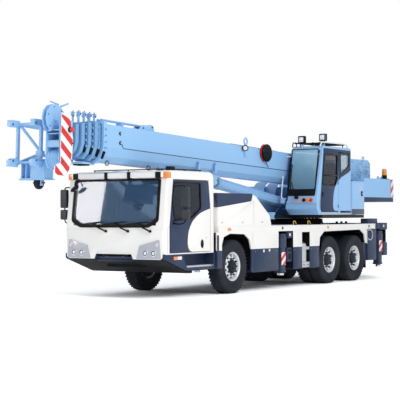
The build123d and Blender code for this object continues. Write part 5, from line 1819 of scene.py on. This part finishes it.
def add_boom_eye(base):
    eye_s = in_boom(-2.16, 0.2, 3.27)[0]
    base.add(
        BLUE_PAINT, turned(LIFTING_RING, (eye_s, 0.2, 0.478), ACROSS, 32, closed=True),
        block(eye_s - 0.045, eye_s + 0.045, 0.18, 0.22, BASE_TOP, 0.415, edge=0.008),
    )
    base.add(
        SMOOTH_BLACK,
        pipe([(eye_s - 1.4, 0.2, 0.362), (eye_s - 0.6, 0.22, 0.362), (eye_s + 0.7, 0.22, 0.362)], 0.01),
    )


def add_boom_lamp(base):
    lamp_s, _, lamp_n = in_boom(-1.88, 0.345, 3.08)
    lamp_at, lamp_way = Vector((lamp_s, 0.352, lamp_n)), Vector((0.77, 0.62, -0.1))
    lamp_can = [
        (0, -0.05), (0.045, -0.05), (0.066, -0.02), (0.07, 0.03), (0.064, 0.042), (0.054, 0.042),
        (0.052, 0.03), (0, 0.03),
    ]
    base.add(SMOOTH_BLACK, turned(lamp_can, lamp_at, lamp_way, 36))
    base.add(
        CLEAR_LENS, turned([(0, 0.03), (0.052, 0.03), (0.045, 0.04), (0, 0.046)], lamp_at, lamp_way, 36)
    )
    base.add(
        BLUE_PAINT, cross_bar(lamp_s - 0.03, lamp_n, 0.296, 0.34, 0.02, 14, edge=0.003),
        block(lamp_s - 0.12, lamp_s - 0.04, 0.295, 0.34, lamp_n - 0.19, lamp_n - 0.13, edge=0.01),
    )


def add_boom_rings(base):
    """Hanging rings, and the pad the boom lies on."""
    for s in (6.3, 7.6, 8.95):
        hoop = turned(LIFTING_RING, (s, 0.18, -0.372), ALONG, 24, closed=True)
        bmesh.ops.scale(
            hoop, vec=(0.6, 0.6, 0.6), verts=hoop.verts, space=Matrix.Translation((-s, -0.18, 0.372))
        )
        base.add(CAST_IRON, hoop)
    s_low, _, n = in_boom(3.34, 0, 2.575)
    base.add(BLUE_PAINT, block(s_low, s_low + 0.24, -0.13, 0.13, n - 0.02, n + 0.02))
    base.add(SMOOTH_BLACK, block(s_low + 0.02, s_low + 0.22, -0.12, 0.12, n - 0.045, n - 0.02))
    base.add(BLUE_PAINT, block(s_low - 0.2, s_low + 0.02, -0.06, 0.06, n - 0.012, n + 0.012, edge=0.004))


def dress_boom_base():
    base = Piece("boom_base_fittings", "boom_base", ALONG_BOOM)
    add_boom_lugs(base)
    add_boom_eye(base)
    add_boom_lamp(base)
    add_boom_rings(base)
    base.done("light_blue")


REEL_S, REEL_N = 3.26, 0.262
REEL_PARTS = (
    ([(0, 0.301), (0.196, 0.301), (0.2, 0.306), (0.196, 0.312), (0, 0.312)], SMOOTH_BLACK),
    ([(0, 0.312), (0.188, 0.312), (0.194, 0.318), (0.194, 0.328), (0.186, 0.334), (0, 0.334)], SIGN_RED),
    (
        [
            (0, 0.334), (0.155, 0.334), (0.155, 0.354), (0.198, 0.358), (0.203, 0.368), (0.199, 0.392),
            (0.186, 0.405), (0.13, 0.41), (0.12, 0.418), (0, 0.42),
        ],
        SMOOTH_BLACK,
    ),
)


def dress_cable_reel():
    reel = Piece("cable_reel_drum", "boom_base", ALONG_BOOM)
    for profile, finish in REEL_PARTS:
        reel.add(finish, turned(profile, (REEL_S, 0, REEL_N), ACROSS, 48))
    reel.add(
        BLACK_PLASTIC,
        ring_of(
            lambda: block(
                REEL_S - 0.012, REEL_S + 0.012, 0.398, 0.417, REEL_N + 0.05, REEL_N + 0.165, edge=0.004
            ),
            8, (REEL_S, 0, REEL_N), ACROSS,
        ),
    )
    reel.add(
        SMOOTH_BLACK, cross_bar(REEL_S, REEL_N, 0.41, 0.432, 0.036, edge=0.005),
        pipe(
            [(REEL_S - 0.02, 0.34, 0.1), (REEL_S - 0.05, 0.33, 0.03), (REEL_S - 0.2, 0.306, -0.05)],
            0.006, bend=0.05,
        ),
    )
    reel.done("black_plastic", ["cable_reel"])


STRIPE_LINE = [
    (4.27, 3.46), (4.02, 3.37), (3.95, 3.0), (3.98, 2.7), (4.06, 2.41), (4.2, 2.3), (4.48, 2.32),
    (4.47, 2.5), (4.31, 2.54), (4.3, 3.0),
]


def dress_boom_head():
    head = Piece("boom_head_dressed", "boom_section_5", ALONG_BOOM)
    head.add(BLUE_PAINT, shell_copy("boom_head", 0.006, lambda middle, edge: True, ALONG_BOOM))
    stripe = [in_boom(x, 0.203, z) for x, z in grown(STRIPE_LINE, -0.024)]
    banded(
        head.add, lambda: plate(stripe, (0, 0.006, 0), edge=0), in_boom(4.31, 0.2, 3.12), (-0.6, 0, 0.8),
        0.112,
    )
    head.add(
        SIGN_WHITE,
        plate([in_boom(x, 0.196, z) for x, z in grown(STRIPE_LINE, 0.006)], (0, 0.008, 0), edge=0.002),
    )
    lamp = in_boom(4.055, 0.235, 3.16)
    head.add(RED_LENS, rod(lamp, (lamp[0], 0.3, lamp[2]), 0.045, 28, edge=0.01))
    head.add(SMOOTH_BLACK, cross_bar(lamp[0], lamp[2], 0.205, 0.24, 0.05, 28, edge=0.006))
    for x, z in ((3.95, 3.42), (3.97, 2.92), (3.99, 2.6), (4.25, 2.58)):
        spot = in_boom(x, 0.2, z)
        head.add(CAST_IRON, rod(spot, (spot[0], 0.225, spot[2]), 0.016, 12, edge=0.003))
    for z in (3.09, 2.96):
        spot = in_boom(4.12, 0, z)
        shelf = block(
            spot[0] - 0.12, spot[0] + 0.13, -0.146, 0.146, spot[2] - 0.008, spot[2] + 0.008, edge=0.003
        )
        head.add(BLUE_PAINT, shelf)
    for i in range(6):
        turn = i * math.tau / 6 + 0.3
        spot = (PULLEY_S + 0.215 * math.cos(turn), PULLEY_N + 0.215 * math.sin(turn))
        head.add(CAST_IRON, cross_bar(spot[0], spot[1], -0.056, -0.046, 0.013, 6, edge=0.002))
    head.add(
        BLUE_PAINT, cross_bar(PULLEY_S, PULLEY_N, -0.056, -0.035, 0.06, 28, edge=0.006),
        rod((10.06, -0.11, 0.635), (10.3, -0.11, 0.665), 0.014, 12, edge=0.003),
        rod((10.02, -0.1, 0.6), (9.93, 0.02, 0.66), 0.016, 12, edge=0.003),
    )
    head.done("light_blue", ["boom_head"])


JIB_WHEEL_X, JIB_WHEEL_Z = 3.939, 2.213


def dress_stowed_jib():
    jib = Piece("stowed_jib_dressed", "boom_base")
    pockets = []
    for y_low, y_high in ((-1.0, -0.93), (-0.91, -0.82), (-0.8, -0.7)):
        for x_low, x_high in ((3.7, 3.865), (3.995, 4.15)):
            pockets.append(block(x_low, x_high, y_low, y_high, 2.3, 2.575, edge=0))
    jib.add(BLUE_PAINT, carved(shell_copy("stowed_jib", 0.005, lambda middle, edge: True), *pockets))
    for z in (2.275, 2.6):
        jib.add(BLUE_PAINT, block(3.79, 4.085, -0.985, -0.355, z - 0.011, z + 0.011, edge=0.004))
    jib.add(
        BLUE_PAINT, block(3.9, 3.97, -0.69, -0.67, 2.16, 2.3), block(3.9, 3.97, -0.57, -0.55, 2.16, 2.3)
    )
    jib.add(
        TYRE_RUBBER,
        turned(
            [
                (0.03, -0.036), (0.09, -0.037), (0.112, -0.034), (0.119, -0.02), (0.119, 0.02),
                (0.112, 0.034), (0.09, 0.037), (0.03, 0.036),
            ],
            (JIB_WHEEL_X, -0.62, JIB_WHEEL_Z), ACROSS, 36, closed=True,
        ),
    )
    jib.add(HUB_PAINT, cross_bar(JIB_WHEEL_X, JIB_WHEEL_Z, -0.66, -0.58, 0.05, 24, edge=0.004))
    jib.add(BLUE_PAINT, cross_bar(4.02, 2.6, -0.46, -0.4, 0.05, 24, edge=0.004))
    jib.add(SMOOTH_BLACK, cross_bar(4.02, 2.6, -0.47, -0.39, 0.022, 16, edge=0.003))
    jib.add(CAST_IRON, cross_bar(3.935, 2.215, -0.76, -0.48, 0.016, 14, edge=0.003))
    jib.add(
        BLUE_PAINT, pipe([(4.05, -0.95, 3.27), (4.05, -0.5, 2.8)], 0.028),
        block(4.0, 4.1, -0.56, -0.42, 2.7, 2.8, edge=0.008),
    )
    for y in (-1.02, -0.46):
        for z in (3.3, 2.62):
            for gap in (-0.042, 0.042):
                ear = [
                    (4.1, z - 0.05), (4.24, z - 0.05), (4.29, z - 0.03), (4.31, z), (4.29, z + 0.03),
                    (4.24, z + 0.05), (4.1, z + 0.05),
                ]
                jib.add(BLUE_PAINT, side_plate(ear, y + gap - 0.009, y + gap + 0.009, corner=0.01))
            jib.add(CAST_IRON, cross_bar(4.26, z, y - 0.065, y + 0.065, 0.02, 16, edge=0.004))
    jib.done("light_blue", ["stowed_jib"])


SHEAVE_PROFILE = (
    (0.86, -1.0), (1.0, -1.0), (1.0, -0.75), (0.9, -0.35), (0.9, 0.35), (1.0, 0.75), (1.0, 1.0),
    (0.86, 1.0), (0.8, 0.45), (0.34, 0.45), (0.3, 1.0), (0.1, 1.0), (0.1, -1.0), (0.3, -1.0),
    (0.34, -0.45), (0.8, -0.45),
)


def dress_sheaves():
    sheaves = Piece("head_rope_sheaves", "boom_section_5", ALONG_BOOM)
    for s, n, radius, places in HEAD_SHEAVES:
        for y in places:
            groove = [(r * radius, a * 0.03) for r, a in SHEAVE_PROFILE]
            sheaves.add(BLUE_PAINT, turned(groove, (s, y, n), ACROSS, 44, closed=True))
            bottom = [
                (0.8 * radius, -0.012), (0.885 * radius, -0.012), (0.885 * radius, 0.012),
                (0.8 * radius, 0.012),
            ]
            sheaves.add(SMOOTH_BLACK, turned(bottom, (s, y, n), ACROSS, 44, closed=True))
        pin = cross_bar(s, n, places[0] - 0.04, places[-1] + 0.04, radius * 0.16, edge=0.004)
        sheaves.add(CAST_IRON, pin)
    sheaves.done("cast_grey", ["head_sheaves"])


# --- Finishes of the CAD pieces that stay in view ---
FINISHES = {
    "light_blue": BLUE_PAINT,
    "navy": NAVY_PAINT,
    "off_white": WHITE_PAINT,
    "frame_black": CHASSIS_BLACK,
    "black_plastic": BLACK_PLASTIC,
    "lamp_grey": LAMP_GREY,
    "glass": TINTED_GLASS,
    "rubber": TYRE_RUBBER,
    "rim_white": RIM_PAINT,
    "cast_grey": CAST_IRON,
    "silver": BRIGHT_STEEL,
    "seat": SEAT_CLOTH,
    "rod_steel": CHROME_ROD,
}
OWN_FINISH = {
    "side_boxes": SKIRT_PAINT,
    "counterweight": WEIGHT_PAINT,
    # The turntable frame's black foot is painted shade.
    "turntable_frame": FRAME_PAINT_WITH_PAINTED_SHADE,
    # Sections 2 to 5 take the deeper blue of painted shade.
    "boom_section_2": SECTION_PAINTED_SHADE_BLUE,
    "boom_section_3": SECTION_PAINTED_SHADE_BLUE,
    "boom_section_4": SECTION_PAINTED_SHADE_BLUE,
    "boom_section_5": SECTION_PAINTED_SHADE_BLUE,
}


def dress_cad():
    for row in frame["record"]["subparts"]:
        mesh = NODES[row["node"]].data
        finish = OWN_FINISH.get(row["node"], FINISHES[row["material_slot"]])
        mesh.materials.clear()
        mesh.materials.append(finish)


# --- Stage, light and camera ---
SOFT_LIGHT = 0.53
# The floor's colour to the eye is over 1, so that it is white where no shadow falls.
FLOOR_SEEN = (2.1, 2.08, 2.06, 1.0)
# How much of that colour the floor throws back on the crane.
FLOOR_SHARE = 0.5
CARD_COLOUR = (1.0, 0.65, 0.46)
CAMERA_FROM_AXLE = (21.43, 14.34, 1.627)
CAMERA_HEADING, CAMERA_RISE, CAMERA_ROLL = 0.5773, math.radians(0.65), -0.0034
FOCAL_LENGTH = 110.7


def seen_directly(tree, others=None):
    """1 for what the camera sees itself or through glass. Other rays get the value of others, or
    without it 1 in polished surfaces and 0 elsewhere."""
    path = add_node(tree, "ShaderNodeLightPath").outputs
    seen = {0: path["Is Camera Ray"], 1: path["Is Glossy Ray"] if others is None else others}
    first = output_of(tree, "ShaderNodeMath", "Value", seen, operation="MAXIMUM")
    both = {0: first, 1: path["Is Transmission Ray"]}
    return output_of(tree, "ShaderNodeMath", "Value", both, operation="MAXIMUM")


def make_room():
    """White all round to the eye, with a softer light than that on the crane."""
    world = bpy.data.worlds.new("white_room")
    world.use_nodes = True
    tree = world.node_tree
    tree.nodes.clear()
    soft = output_of(
        tree, "ShaderNodeBackground", "Background",
        {"Color": (0.93, 0.96, 1.0, 1.0), "Strength": SOFT_LIGHT},
    )
    white = output_of(
        tree, "ShaderNodeBackground", "Background", {"Color": (1, 1, 1, 1), "Strength": 1.0}
    )
    pick = output_of(
        tree, "ShaderNodeMixShader", "Shader", {"Fac": seen_directly(tree), 1: soft, 2: white}
    )
    add_node(tree, "ShaderNodeOutputWorld", {"Surface": pick})
    bpy.context.scene.world = world


def make_floor():
    material = bpy.data.materials.new("white_floor")
    material.use_nodes = True
    tree = material.node_tree
    tree.nodes.clear()
    share = seen_directly(tree, FLOOR_SHARE)
    tone = output_of(
        tree, "ShaderNodeMix", "Result", {"Factor": share, "A": (0.9, 0.9, 0.9, 1.0), "B": FLOOR_SEEN},
        data_type="RGBA",
    )
    paint = output_of(tree, "ShaderNodeBsdfDiffuse", "BSDF", {"Color": tone})
    add_node(tree, "ShaderNodeOutputMaterial", {"Surface": paint})
    shape = bmesh.new()
    bmesh.ops.create_grid(shape, x_segments=1, y_segments=1, size=400)
    floor = as_object(shape, "floor")
    floor.data.materials.append(material)


def add_light(name, place, target, energy, width):
    lamp = bpy.data.lights.new(name, "AREA")
    lamp.shape, lamp.size, lamp.energy = "DISK", width, energy
    holder = bpy.data.objects.new(name, lamp)
    holder.location = place
    holder.rotation_euler = (Vector(target) - Vector(place)).to_track_quat("-Z", "Y").to_euler()
    bpy.context.scene.collection.objects.link(holder)


def add_card(name, place, target, energy, size):
    """A small bright card that shows in the windscreen and lights nothing else. Its colour undoes the
    glass's own tint, so that it shows white."""
    add_light(name, place, target, energy, size[0])
    lamp = bpy.data.lights[name]
    lamp.shape, lamp.size_y = "RECTANGLE", size[1]
    lamp.color = CARD_COLOUR
    bpy.data.objects[name].visible_diffuse = False


def make_camera():
    lens = bpy.data.cameras.new("camera")
    lens.lens, lens.sensor_width = FOCAL_LENGTH, 36.0
    lens.clip_end = 1000
    camera = bpy.data.objects.new("camera", lens)
    camera.location = Vector((AXLE_X, 0, 0)) + Vector(CAMERA_FROM_AXLE)
    ahead = Vector((-math.cos(CAMERA_HEADING), -math.sin(CAMERA_HEADING), math.tan(CAMERA_RISE)))
    turn = ahead.to_track_quat("-Z", "Y").to_matrix().to_4x4()
    camera.rotation_euler = (turn @ Matrix.Rotation(CAMERA_ROLL, 4, "Z")).to_euler()
    bpy.context.scene.collection.objects.link(camera)
    bpy.context.scene.camera = camera
    bpy.context.scene.view_settings.view_transform = "Standard"


dress_wheels()
dress_cab_body()
dress_windscreen()
dress_headlamps()
dress_marker_lamps()
dress_bumper()
dress_driver_doors()
dress_door_mirrors()
dress_ramp_mirror()
dress_cab_roof()
dress_cab_inside()
dress_driver_seats()
dress_engine_hood()
dress_carrier_body()
dress_slew_ring()
dress_canisters()
dress_outriggers()
dress_operator_cab()
dress_operator_panes()
dress_operator_roof()
dress_operator_door()
dress_operator_seat()
dress_operator_console()
dress_superstructure()
dress_counterweight()
dress_winches()
dress_luff_barrel()
dress_collars()
dress_boom_base()
dress_cable_reel()
dress_boom_head()
dress_stowed_jib()
dress_sheaves()
dress_cad()
make_room()
make_floor()
add_light("key", (AXLE_X + 8, 17, 13), (AXLE_X - 3, 0, 1.5), 1800, 9)
add_light("fill", (AXLE_X + 14, -6, 8), (AXLE_X, 0, 1.5), 260, 8)
add_card("windscreen_card", (AXLE_X + 9.25, -6.3, 3.75), (AXLE_X + 2.4, -0.68, 1.88), 96, (0.8, 1.5))
make_camera()
